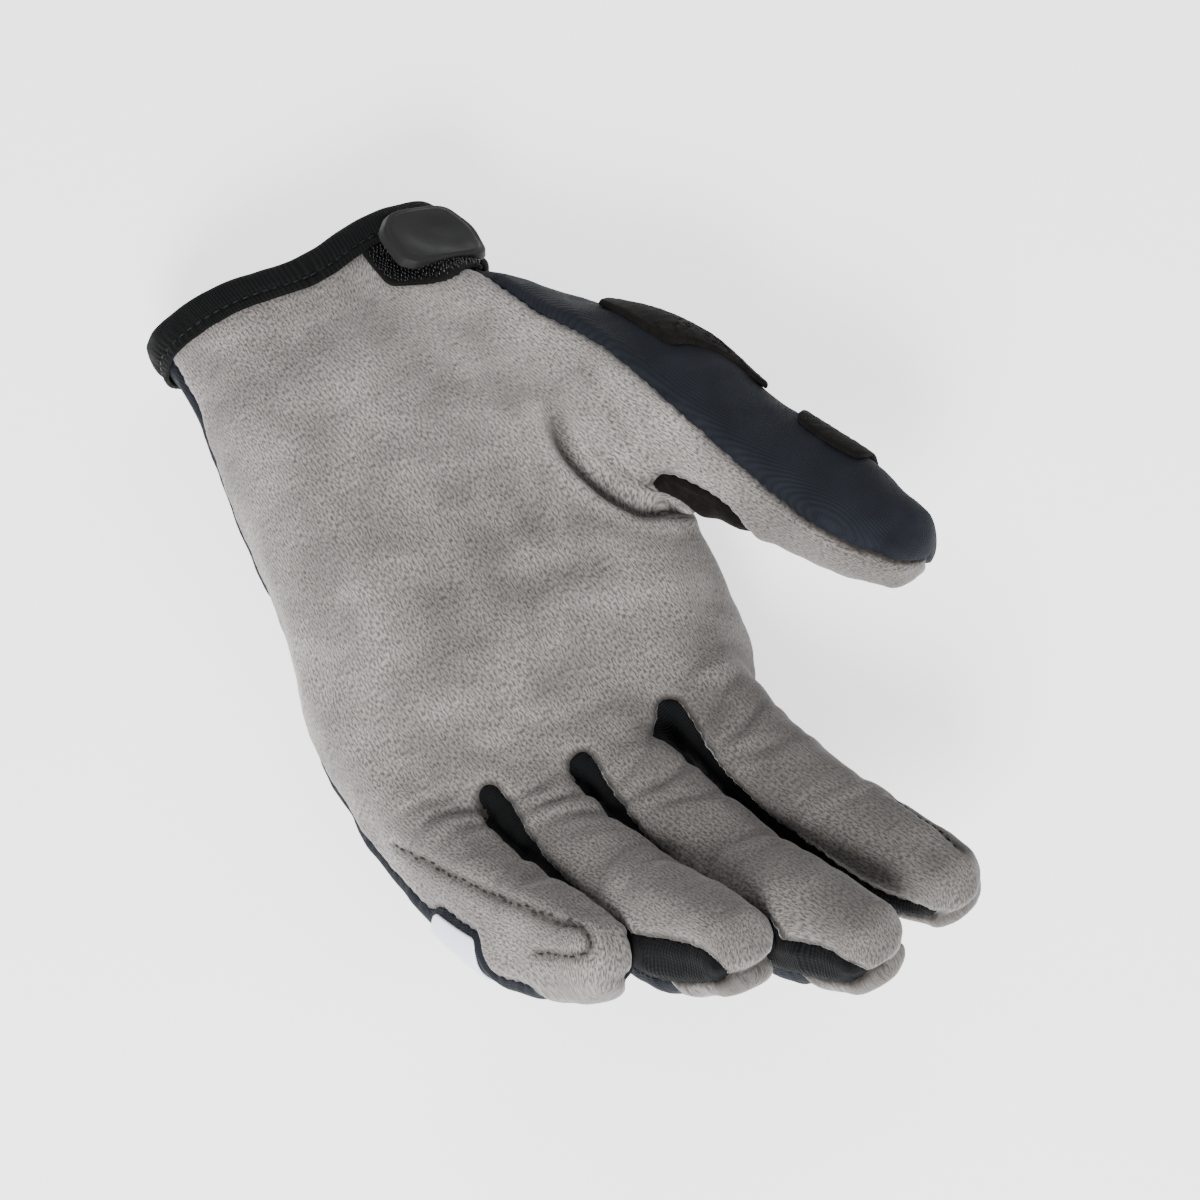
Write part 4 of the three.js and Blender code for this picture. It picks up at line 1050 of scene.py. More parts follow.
            store(piece, "weave", weave[used])
            # The height of the creases also sets where the suede is darkened by painted shade.
            store(piece, "creases", np.stack([cloth.get("lift"), gap, gap], axis=1)[used])
            wall = piece.modifiers.new("wall", "SOLIDIFY")
            wall.thickness = self.wall * MM
            wall.offset = -1.0
            panels[panel] = piece
            log.info("%s: %d triangles a side", piece.name, len(faces))
        return panels


def faced_out(points: Array, faces: Array) -> Array:
    """Turns a closed mesh's faces round where its signed volume, summed over fans, is negative."""
    first = points[faces[:, 0]]
    volume = sum(
        (first * np.cross(points[faces[:, k]], points[faces[:, k + 1]])).sum()
        for k in range(1, faces.shape[1] - 1)
    )
    return faces[:, ::-1] if volume < 0 else faces


def grid_quads(rows: int, columns: int, closed_rows: bool, closed_columns: bool) -> Array:
    """Four-cornered faces of a grid of points, closed round its rows or columns as asked."""
    row, column = np.meshgrid(
        np.arange(rows if closed_rows else rows - 1),
        np.arange(columns if closed_columns else columns - 1), indexing="ij")
    below, right = (row + 1) % rows, (column + 1) % columns
    corners = (
        row * columns + column, row * columns + right,
        below * columns + right, below * columns + column,
    )
    return np.stack(corners, -1).reshape(-1, 4)


@dataclass(frozen=True)
class Plate:
    """A thin plate with a free outline, laid on a surface ring by ring from its middle outwards.

    Each ring is the outline drawn towards the middle by a share, and the profile gives the plate's
    height over the surface at each share: out over the top, round the edge and back underneath.
    """

    name: str
    outline: tuple[tuple[float, float], ...]
    profile: tuple[tuple[float, float], ...]
    columns: int = 120
    roundness: float = 0.35

    def ring(self) -> Array:
        """The outline as evenly spaced points, its corners rounded by cutting them back."""
        corners = np.asarray(self.outline, float)
        following = np.roll(corners, -1, axis=0)
        near = corners + (following - corners) * self.roundness * 0.5
        far = following - (following - corners) * self.roundness * 0.5
        loop = np.stack([near, far], axis=1).reshape(-1, 2)
        before = np.roll(loop, 1, axis=0)
        joined = []
        for k in range(0, len(loop), 2):
            corner = corners[k // 2]
            f = np.linspace(0, 1, 9)[:, None]
            joined.append((1 - f) ** 2 * before[k] + 2 * f * (1 - f) * corner + f**2 * loop[k])
        dense = np.vstack([*joined, joined[0][:1]])
        run = run_along(dense / np.ptp(dense, axis=0))
        wanted = np.linspace(0, run[-1], self.columns, endpoint=False)
        return np.stack([np.interp(wanted, run, dense[:, k]) for k in range(2)], axis=1)

    def build(self, place: Callable[[Array, Array], Array]) -> bpy.types.Object:
        """Makes the plate.

        Args:
            place: Gives points in millimetres for outline coordinates and heights.

        Returns:
            The plate's object.
        """
        ring = self.ring()
        middle = ring.mean(axis=0)
        share = np.array([row[0] for row in self.profile])
        level = np.array([row[1] for row in self.profile])
        flat = middle + (ring - middle)[None] * share[:, None, None]
        heights = np.broadcast_to(level[:, None], flat.shape[:2])
        points = place(flat.reshape(-1, 2), heights.ravel())
        rows = len(share)
        quads = grid_quads(rows, self.columns, False, True)
        tops = place(np.stack([middle, middle]), level[[0, -1]])
        points = np.vstack([points, tops])
        around = np.arange(self.columns)
        following = (around + 1) % self.columns
        start, end = rows * self.columns, rows * self.columns + 1
        last = (rows - 1) * self.columns
        fans = np.concatenate([
            np.stack([np.full(self.columns, start), following, around, around], 1),
            np.stack([np.full(self.columns, end), last + around, last + following, last + following], 1),
        ])
        triangles = np.concatenate([quads[:, [0, 1, 2]], quads[:, [0, 2, 3]], fans[:, :3]])
        piece = mesh_object(self.name, points, faced_out(points, triangles))
        coordinates = np.vstack([flat.reshape(-1, 2), middle, middle])
        store(piece, "weave", np.column_stack([coordinates, np.full(len(coordinates), FAR_FROM_SEAM)]))
        return piece


def plate_profile(low: float, high: float, edge: float, rings: int = 14, dish: float = 0.0) -> tuple[
        tuple[float, float], ...]:
    """Profile of a plate: flat or dished top, an edge rounded as a quarter circle, flat underside.

    Args:
        low: Height of the underside in millimetres.
        high: Height of the top's rim.
        edge: Share of the plate's reach that the rounding takes.
        rings: How many rings lie on each face.
        dish: How far the middle lies below the rim.

    Returns:
        Rows of share and height.
    """
    inner = np.linspace(0.06, 1 - edge, rings)
    top = high - dish * (1 - smooth_step(inner, 1 - 3.2 * edge, 1 - 1.4 * edge))
    turn = np.linspace(0, np.pi / 2, 6)[1:]
    round_share = 1 - edge + edge * np.sin(turn)
    round_level = high - (high - low) * 0.6 * (1 - np.cos(turn))
    under = np.linspace(1 - edge * 0.2, 0.06, rings)
    share = np.concatenate([inner, round_share, [1.0], under])
    level = np.concatenate([top, round_level, [low + 0.15 * (high - low)], np.full(rings, low)])
    return tuple(zip(share.tolist(), level.tolist(), strict=True))


@dataclass(frozen=True)
class Stitches:
    """Short runs of thread that arch over the cloth and dip into it at both ends."""

    name: str
    length: float = 1.9
    radius: float = 0.26
    rise: float = 0.22
    rings: int = 7
    corners: int = 6

    def build(self, places: Array, along: Array, out: Array) -> bpy.types.Object:
        """Makes all the stitches as one mesh of small bent tubes.

        Args:
            places: Middle of each stitch on the cloth, in millimetres.
            along: Direction of each stitch.
            out: Direction out of the cloth at each stitch.

        Returns:
            The stitches' object.
        """
        along, out = unit(along), unit(out)
        side = unit(np.cross(out, along))
        run = np.linspace(-1, 1, self.rings)
        # Height over the cloth: an arch that falls below it at both ends.
        height = self.rise + self.radius * 0.4 - (self.rise + self.radius * 1.4) * run**4
        thick = self.radius * np.sqrt(np.clip(1.06 - run**6, 0.02, 1))
        turn = np.linspace(0, 2 * np.pi, self.corners, endpoint=False)
        offset_along = np.broadcast_to((run * self.length / 2)[:, None], (self.rings, self.corners))
        offset_side = thick[:, None] * np.cos(turn)[None]
        offset_out = height[:, None] + thick[:, None] * np.sin(turn)[None]
        points = (
            places[:, None, None] + along[:, None, None] * offset_along[None, ..., None]
            + side[:, None, None] * offset_side[None, ..., None]
            + out[:, None, None] * offset_out[None, ..., None]
        )
        one = np.vstack([
            grid_triangles(self.rings, self.corners, wrapped=True),
            *end_fans(0, self.rings, self.corners),
        ])
        one = faced_out(points[0].reshape(-1, 3), one)
        starts = np.arange(len(places)) * self.rings * self.corners
        many = (one[None] + starts[:, None, None]).reshape(-1, 3)
        return mesh_object(self.name, points.reshape(-1, 3), many)


def spaced(line: Array, pitch: float) -> tuple[Array, Array]:
    """Points at an even pitch along a line, and the line's direction at each.

    Args:
        line: The line's points.
        pitch: Distance between the points in millimetres.

    Returns:
        The points and the directions.
    """
    run = run_along(line)
    wanted = np.arange(pitch / 2, run[-1], pitch)
    points = np.stack([np.interp(wanted, run, line[:, k]) for k in range(3)], axis=1)
    ahead = np.stack([np.interp(wanted + 0.4, run, line[:, k]) for k in range(3)], axis=1)
    behind = np.stack([np.interp(wanted - 0.4, run, line[:, k]) for k in range(3)], axis=1)
    return points, unit(ahead - behind)


@dataclass(frozen=True)
class Camera:
    """The photograph's view: 62 degrees above the floor, with a long lens."""

    elevation: float = 62.0
    turn: float = 33.0
    distance: float = 900.0
    scale: float = 4.4
    frame: float = 1200.0
    target: tuple[float, float, float] = (0.0, 0.0, 20.0)
    seen_at: tuple[float, float] = (478.0, 560.0)
    sensor: float = 36.0

    def build(self) -> bpy.types.Object:
        """Places the camera so that the target shows at its pixel, and makes it the scene's.

        Returns:
            The camera object.
        """
        up_angle, turn = math.radians(self.elevation), math.radians(self.turn)
        flat = math.cos(up_angle)
        back = Vector((flat * math.sin(turn), flat * math.cos(turn), math.sin(up_angle)))
        target = Vector(self.target)
        eye = target + back * self.distance
        right = (-back).cross(Vector((0, 0, 1))).normalized()
        up = right.cross(-back)
        off = (Vector((self.frame / 2, self.frame / 2)) - Vector(self.seen_at)) / self.scale
        aim = (target + right * off.x - up * off.y - eye).normalized()
        right = (right - aim * right.dot(aim)).normalized()
        up = right.cross(aim)
        data = bpy.data.cameras.new("view")
        data.sensor_width = self.sensor
        data.lens = self.sensor * self.scale * self.distance / self.frame
        data.clip_end = 20
        camera = bpy.data.objects.new("view", data)
        turned = Matrix((right, up, -aim)).transposed().to_4x4()
        camera.matrix_world = Matrix.Translation(eye * MM) @ turned
        bpy.context.scene.collection.objects.link(camera)
        bpy.context.scene.camera = camera
        return camera


def linear(code: str) -> tuple[float, float, float, float]:
    """Turns an sRGB hex colour such as 8a8580 into linear red, green, blue and alpha."""
    shown = np.array([int(code[k:k + 2], 16) for k in (0, 2, 4)]) / 255
    light = np.where(shown <= 0.04045, shown / 12.92, ((shown + 0.055) / 1.055) ** 2.4)
    return (*light.tolist(), 1.0)


class Shader:
    """One material's nodes."""

    def __init__(self, name: str, **surface: Any) -> None:
        """Makes the material with a principled surface and sets that surface's own sockets."""
        self.material = bpy.data.materials.new(name)
        self.material.use_nodes = True
        self.tree = self.material.node_tree
        self.surface = self.tree.nodes["Principled BSDF"]
        for socket, value in surface.items():
            self.surface.inputs[socket.replace("_", " ").title().replace("Ior", "IOR")].default_value = value

    def add(self, kind: str, inputs: dict[str | int, Any] | None = None, **settings: Any) -> bpy.types.Node:
        """Adds one node.

        Args:
            kind: The node's type, without the words ShaderNode before it.
            inputs: Values or sockets for its inputs, by name or number.
            settings: Properties of the node itself.

        Returns:
            The node.
        """
        node = self.tree.nodes.new("ShaderNode" + kind)
        for name, value in settings.items():
            setattr(node, name, value)
        for key, value in (inputs or {}).items():
            if isinstance(value, bpy.types.NodeSocket):
                self.tree.links.new(value, node.inputs[key])
            else:
                node.inputs[key].default_value = value
        return node

    def blend(self, share: Any, first: Any, second: Any) -> bpy.types.NodeSocket:
        """Colour that runs from the first to the second as the share goes from 0 to 1."""
        ends = [linear(end) if isinstance(end, str) else end for end in (first, second)]
        node = self.add("Mix", {"Factor": share, 6: ends[0], 7: ends[1]}, data_type="RGBA")
        return node.outputs[2]

    def sum(self, *terms: tuple[Any, float]) -> bpy.types.NodeSocket:
        """Sum of sockets, each times its weight."""
        total: Any = 0.0
        for value, weight in terms:
            total = self.add("Math", {0: value, 1: weight, 2: total}, operation="MULTIPLY_ADD").outputs[0]
        return total

    def finish(
        self, colour: Any, roughness: Any, height: Any = None, depth: float = 0.0
    ) -> bpy.types.Material:
        """Joins colour, roughness and relief to the surface.

        Args:
            colour: A socket or a linear colour.
            roughness: A socket or a value.
            height: Socket that gives the relief, if there is one.
            depth: The relief's depth in millimetres.

        Returns:
            The material.
        """
        for socket, value in (("Base Color", colour), ("Roughness", roughness)):
            if isinstance(value, bpy.types.NodeSocket):
                self.tree.links.new(value, self.surface.inputs[socket])
            else:
                self.surface.inputs[socket].default_value = value
        if height is not None:
            bump = self.add("Bump", {"Height": height, "Distance": depth * MM, "Strength": 1.0})
            self.tree.links.new(bump.outputs[0], self.surface.inputs["Normal"])
        return self.material


@dataclass(frozen=True)
class Suede:
    """Microsuede: a brushed nap of very short fibres, which takes light softly and shows rubbed patches."""

    name: str
    slot: str
    light: str
    dark: str
    rubbed_and_shade: str
    cloud_mm: float = 14.0
    nap_mm: float = 0.32
    sheen: float = 0.25
    hatch: float = 0.85
    wale_mm: float = 1.1
    # How far the painted shade darkens the fingers.
    turned: float = 0.6

    def build(self) -> bpy.types.Material:
        """Rubbed clouds, nap hatch marks, a fine crumb in the relief, and painted shade in the creases and on
        the fingers.
        """
        s = Shader(self.name, roughness=0.92, sheen_weight=self.sheen, sheen_roughness=0.45)
        s.surface.inputs["Specular IOR Level"].default_value = 0.1
        place = s.add("TexCoord").outputs["Object"]
        weave = s.add("Attribute", attribute_name="weave").outputs["Vector"]
        parts = s.add("SeparateXYZ", {0: weave})
        clouds = {"Vector": place, "Scale": 1 / (self.cloud_mm * MM), "Detail": 3.0}
        cloud = s.add("TexNoise", clouds).outputs[0]
        # The nap's marks are about three times as long as they are wide.
        shrink = (1 / self.nap_mm, 0.3 / self.nap_mm, 0)
        drawn = s.add("VectorMath", {0: weave, 1: shrink}, operation="MULTIPLY")
        dash = s.add("TexNoise", {"Vector": drawn.outputs[0], "Scale": 1.0, "Detail": 1.0}).outputs[0]
        # The knit under the nap shows as rows, 0.6 mm apart on the glove and drawn at 1.1 mm to be seen.
        turn = s.sum((parts.outputs[0], 2 * math.pi / self.wale_mm), (cloud, 9.0))
        wale = s.add("Math", {0: turn}, operation="SINE").outputs[0]
        crumb = s.add("TexNoise", {"Vector": place, "Scale": 1 / (0.55 * MM), "Detail": 2.0}).outputs[0]
        # The seam's distance is the third number of the weave: the nap is crushed and dirty there.
        near = s.add("MapRange", {0: parts.outputs[2], 1: 0.2, 2: 1.5, 3: 1.0, 4: 0.0}).outputs[0]
        sunk = s.add("SeparateXYZ", {0: s.add("Attribute", attribute_name="creases").outputs["Vector"]})
        # Painted shade: where the cloth lies below its own level, in its creases and hollows, the colour
        # darkens.
        fold = s.add("MapRange", {0: sunk.outputs[0], 1: -3.2, 2: -0.5, 3: 1.0, 4: 0.0}).outputs[0]
        mottle = s.add("MapRange", {0: cloud, 1: 0.36, 2: 0.64}).outputs[0]
        strokes = s.sum((dash, 1.0), (wale, 0.05))
        marks = s.add("MapRange", {0: strokes, 1: 0.4, 2: 0.62, 3: 0.0, 4: self.hatch})
        suede_colour = s.blend(mottle, self.dark, self.light)
        suede_colour = s.blend(marks.outputs[0], suede_colour, self.rubbed_and_shade)
        grain = s.add("MapRange", {0: crumb, 1: 0.3, 2: 0.7, 3: 0.0, 4: 0.4}).outputs[0]
        suede_colour = s.blend(grain, suede_colour, self.dark)
        # Painted shade: the colour darkens along the hand onto the fingers, most on the index finger's side.
        across, along = parts.outputs[0], parts.outputs[1]
        least_finger_shade = 0.6 * self.turned
        side = s.add("MapRange", {0: across, 1: 45.0, 2: -10.0, 3: least_finger_shade, 4: self.turned}).outputs[0]
        turned = s.add("MapRange", {0: along, 1: 15.0, 2: 68.0, 3: 0.0, 4: side}).outputs[0]
        # The seams darken the nap by their own dirt; the creases and the fingers darken by painted shade.
        suede_colour = s.blend(s.sum((near, 0.55), (fold, 0.6), (turned, 1.0)), suede_colour, self.rubbed_and_shade)
        relief = s.sum((dash, 0.5), (crumb, 0.5))
        return s.finish(suede_colour, 0.92, relief, 0.2)


@dataclass(frozen=True)
class Twill:
    """Stretch twill: fine slanted cords of navy yarn, a little lighter on their crowns."""

    name: str
    slot: str
    light: str
    dark: str
    pitch_mm: float = 0.62
    slant: float = 0.35

    def build(self) -> bpy.types.Material:
        """Slanted cords with a cross thread, and faint clouds of wear."""
        s = Shader(self.name, sheen_weight=0.03, sheen_roughness=0.4)
        s.surface.inputs["Specular IOR Level"].default_value = 0.14
        place = s.add("TexCoord").outputs["Object"]
        weave = s.add("Attribute", attribute_name="weave").outputs["Vector"]
        turned = s.add("Mapping", {"Vector": weave, "Rotation": (0, 0, self.slant)}).outputs[0]
        parts = s.add("SeparateXYZ", {0: turned})
        # Two pi over the pitch turns millimetres into the angle of one cord.
        cord = s.sum((parts.outputs[0], 2 * math.pi / self.pitch_mm))
        thread = s.sum((parts.outputs[1], 2 * math.pi / (self.pitch_mm * 1.4)))
        sway = s.add("TexNoise", {"Vector": place, "Scale": 1 / (5 * MM), "Detail": 1.0}).outputs[0]
        cord = s.add("Math", {0: s.sum((cord, 1.0), (sway, 2.5))}, operation="SINE").outputs[0]
        thread = s.add("Math", {0: thread}, operation="SINE").outputs[0]
        cloud = s.add("TexNoise", {"Vector": place, "Scale": 1 / (9 * MM), "Detail": 4.0}).outputs[0]
        mixed = s.sum((cord, 0.12), (thread, 0.06), (cloud, 0.8))
        lit = s.add("MapRange", {0: mixed, 1: 0.0, 2: 0.9}).outputs[0]
        colour = s.blend(lit, self.dark, self.light)
        return s.finish(colour, 0.78, s.sum((cord, 0.5), (thread, 0.2)), 0.07)


@dataclass(frozen=True)
class RibKnit:
    """Ribbed stretch knit: parallel ribs with dark furrows between them."""

    name: str
    slot: str
    light: str
    dark: str
    pitch_mm: float = 0.8
    column: int = 1
    depth_mm: float = 0.2

    def build(self) -> bpy.types.Material:
        """Ribs across one of the weave's directions, broken a little by the yarn's loops."""
        s = Shader(self.name, sheen_weight=0.02, sheen_roughness=0.4)
        s.surface.inputs["Specular IOR Level"].default_value = 0.12
        place = s.add("TexCoord").outputs["Object"]
        weave = s.add("Attribute", attribute_name="weave").outputs["Vector"]
        parts = s.add("SeparateXYZ", {0: weave})
        along, across = parts.outputs[self.column], parts.outputs[1 - self.column]
        sway = s.add("TexNoise", {"Vector": place, "Scale": 1 / (4 * MM), "Detail": 1.0}).outputs[0]
        rib = s.sum((along, 2 * math.pi / self.pitch_mm), (sway, 2.2))
        rib = s.add("Math", {0: rib}, operation="SINE").outputs[0]
        loop = s.sum((across, 2 * math.pi / (self.pitch_mm * 1.2)))
        loop = s.add("Math", {0: loop}, operation="SINE").outputs[0]
        cloud = s.add("TexNoise", {"Vector": place, "Scale": 1 / (7 * MM), "Detail": 3.0}).outputs[0]
        mixed = s.sum((rib, 0.45), (loop, 0.12), (cloud, 0.6))
        lit = s.add("MapRange", {0: mixed, 1: -0.15, 2: 0.95}).outputs[0]
        colour = s.blend(lit, self.dark, self.light)
        return s.finish(colour, 0.82, s.sum((rib, 0.5), (loop, 0.14)), self.depth_mm)


@dataclass(frozen=True)
class Moulded:
    """Moulded rubber or plastic: an even colour with the fine grain of the mould and clouds of handling."""

    name: str
    slot: str
    light: str
    dark: str
    roughness: float = 0.55
    grain_mm: float = 0.5
    depth_mm: float = 0.03
    gloss: float = 0.3

    def build(self) -> bpy.types.Material:
        """Grain from small noise, and clouds of handling that are a little smoother."""
        s = Shader(self.name, ior=1.5)
        s.surface.inputs["Specular IOR Level"].default_value = self.gloss
        place = s.add("TexCoord").outputs["Object"]
        grains = {"Vector": place, "Scale": 1 / (self.grain_mm * MM), "Detail": 3.0}
        grain = s.add("TexNoise", grains).outputs[0]
        cloud = s.add("TexNoise", {"Vector": place, "Scale": 1 / (6 * MM), "Detail": 3.0}).outputs[0]
        lit = s.add("MapRange", {0: s.sum((cloud, 0.7), (grain, 0.3)), 1: 0.32, 2: 0.68}).outputs[0]
        low, high = self.roughness - 0.1, self.roughness + 0.1
        rough = s.add("MapRange", {0: cloud, 1: 0.35, 2: 0.65, 3: low, 4: high}).outputs[0]
        return s.finish(s.blend(lit, self.dark, self.light), rough, grain, self.depth_mm)


class Finish(Enum):
    """The finishes of the glove's pieces."""

    # Mid grey with dark nap marks and rubbed clouds, and painted shade in its creases and towards the
    # fingers.
    PALM = Suede("brushed_microsuede_grey", "palm_suede", "aca7a3", "878380", "34302d")
    # Nearly black suede with small clouds and a coarser nap, without painted shade on the fingers.
    PATCH = Suede("brushed_suede_black", "dark_suede", "1b1815", "0f0d0c", "070605",
                  3.0, 0.6, 0.03, 0.5, turned=0.0)
    # Dark navy with fine slanted cords.
    BACK = Twill("woven_stretch_twill_navy", "back_fabric", "20242c", "0f1115", 0.55)
    # Black ribs that run across the fingers.
    GUSSET = RibKnit("ribbed_stretch_knit_black", "ribbed_fabric", "131416", "040405", 0.66)
    # Black ribs that run across the tape, with a low relief.
    BINDING = RibKnit("knitted_tape_black", "binding_knit", "141516", "070808", 0.7, 0, 0.14)
    # Black webbing of the strap and of the hooks' base.
    WEBBING = RibKnit("woven_loop_webbing_black", "hook_loop", "161617", "080808", 0.7, 0, 0.12)
    # Small shiny points in a nearly black field.
    HOOKS = Moulded("moulded_nylon_hooks_black", "hook_loop", "0a0a0b", "040404", 0.3, 0.8, 0.02, 0.45)
    # Dark grey with a dull shine on the bevel.
    RUBBER = Moulded("moulded_soft_rubber_grey", "tab_rubber", "1f1f20", "171718", 0.58, 0.5, 0.03, 0.22)
    # Smooth bluish white.
    LABEL = Moulded("smooth_printed_film_white", "label_white", "e2e8f4", "d6deec", 0.5, 1.2, 0.02)
    # Thread of the darts, darker than the suede.
    THREAD = Moulded("twisted_polyester_thread_grey", "palm_suede", "3a3633", "26231f", 0.6, 0.4, 0.03, 0.2)
    # Thread of the binding, a little lighter than the tape.
    BLACK_THREAD = Moulded("twisted_polyester_thread_black", "binding_knit", "1a1a1b", "0c0c0d",
                           0.5, 0.4, 0.03, 0.25)


class Dresser:
    """Gives each piece its finish, the node it stands for and the body it rides on."""

    def __init__(self) -> None:
        """Starts with no material made."""
        self.made: dict[Finish, bpy.types.Material] = {}

    def dress(self, piece: bpy.types.Object, finish: Finish, *nodes: str) -> bpy.types.Object:
        """Finishes one piece.

        Args:
            piece: The piece.
            finish: What it is made of.
            nodes: CAD nodes that it stands for.

        Returns:
            The piece.
        """
        if finish not in self.made:
            self.made[finish] = finish.value.build()
        piece.data.materials.append(self.made[finish])
        if nodes:
            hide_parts(*nodes)
        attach(piece, "root")
        log.info("%s in %s", piece.name, finish.value.name)
        return piece


@dataclass(frozen=True)
class Cuff:
    """Knitted tape folded over the rim of the wrist and sewn through with one row of lockstitch."""

    hand: HandForm
    width: float = 8.0
    lift: float = 1.4
    row_at: float = 5.5
    pitch: float = 2.45
    around: int = 400

    def _profile(self) -> Array:
        """Closed loop of distance from the rim and height over the cloth: a U folded round the edge."""
        outer = np.linspace(self.width, 0.2, 26)
        lifted = self.lift + 0.45 * bell(outer - 1.8, 2.6) - 0.55 * bell(outer - self.row_at, 0.62)
        lifted = lifted + 0.12 * bell(outer - self.width + 1.1, 0.8)
        turn = np.linspace(np.pi / 2, 3 * np.pi / 2, 12)[1:-1]
        nose = np.stack([1.25 * np.cos(turn), -0.75 + (self.lift + 0.95) * np.sin(turn)], axis=1)
        inner = np.linspace(0.2, self.width - 0.6, 14)
        inside = np.stack([inner, np.full(14, -2.9)], axis=1)
        back = np.array([(self.width - 0.2, -2.5), (self.width - 0.4, -1.9), (0.5, -1.8), (0.1, -0.7),
                         (0.5, 0.3), (self.width - 0.5, 0.3), (self.width + 0.12, 0.65)])
        return np.vstack([np.stack([outer, lifted], axis=1), nose, inside, back])

    def _place(self, around: Array, from_rim: Array, level: Array) -> Array:
        """Points round the wrist at distances from the rim and heights over the cloth."""
        x, _, half_width, _ = self.hand.palm.section(np.zeros(1))
        across, up_share = superellipse(around, self.hand.palm.power)
        y = rim_of(x + across * half_width, up_share) + from_rim
        return self.hand.palm.at((y + CUFF_TO_ORIGIN) / PALM_LENGTH, around, level)

    def build(self, dresser: Dresser) -> None:
        """Makes the tape and its stitches.

        Args:
            dresser: Gives the pieces their finishes.
        """
        turn = np.linspace(0, 2 * np.pi, self.around, endpoint=False)
        profile = self._profile()
        around, from_rim = np.meshgrid(turn, profile[:, 0], indexing="ij")
        level = np.broadcast_to(profile[:, 1], around.shape)
        # The thread pulls the tape down a little at each stitch.
        pull = 0.16 * bell(from_rim - self.row_at, 2.4) * np.cos(turn * 76)[:, None] * (level > 0.6)
        sway = 0.22 * ripple(self._place(around.ravel(), from_rim.ravel(), 0).reshape(-1, 3), 9, 21, 2)
        points = self._place(around, from_rim, level - pull + sway.reshape(around.shape))
        points = points.reshape(-1, 3)
        faces = faced_out(points, grid_quads(self.around, len(profile), True, True))
        tape = mesh_object("binding_tape", points, faces)
        run = turn * 30.0
        store(tape, "weave", np.column_stack([
            np.repeat(run, len(profile)), from_rim.ravel(), np.full(len(points), FAR_FROM_SEAM)]))
        dresser.dress(tape, Finish.BINDING, "cuff_binding")
        row = np.linspace(0, 2 * np.pi, 721)
        line = self._place(row, np.full(721, self.row_at), np.full(721, self.lift - 0.5))
        places, along = spaced(line, self.pitch)
        thread = Stitches("binding_lockstitch", 2.0, 0.24, 0.12).build(places, along, self.hand.out(places))
        dresser.dress(thread, Finish.BLACK_THREAD)


@dataclass(frozen=True)
class DartSeams:
    """Rows of grey thread along the darts of the suede."""

    hand: HandForm
    pitch: float = 2.3

    def build(self, dresser: Dresser, suede: bpy.types.Object) -> None:
        """Makes the stitches, each on the point of the suede that is nearest to its place on the dart.

        Args:
            dresser: Gives the thread its finish.
            suede: The palm panel.
        """
        found = np.empty(len(suede.data.vertices) * 3, np.float32)
        suede.data.vertices.foreach_get("co", found)
        points = found.reshape(-1, 3).astype(float) / MM
        for name, rows in DARTS.items():
            line = curve_through(self.hand.fingers[name].spots(rows), 200)
            places, along = spaced(line, self.pitch)
            near = np.linalg.norm(points[None] - places[:, None], axis=2).argmin(axis=1)
            out = self.hand.out(points[near])
            thread = Stitches(f"dart_lockstitch_{name}", 1.6, 0.2, 0.16).build(points[near], along, out)
            dresser.dress(thread, Finish.THREAD)


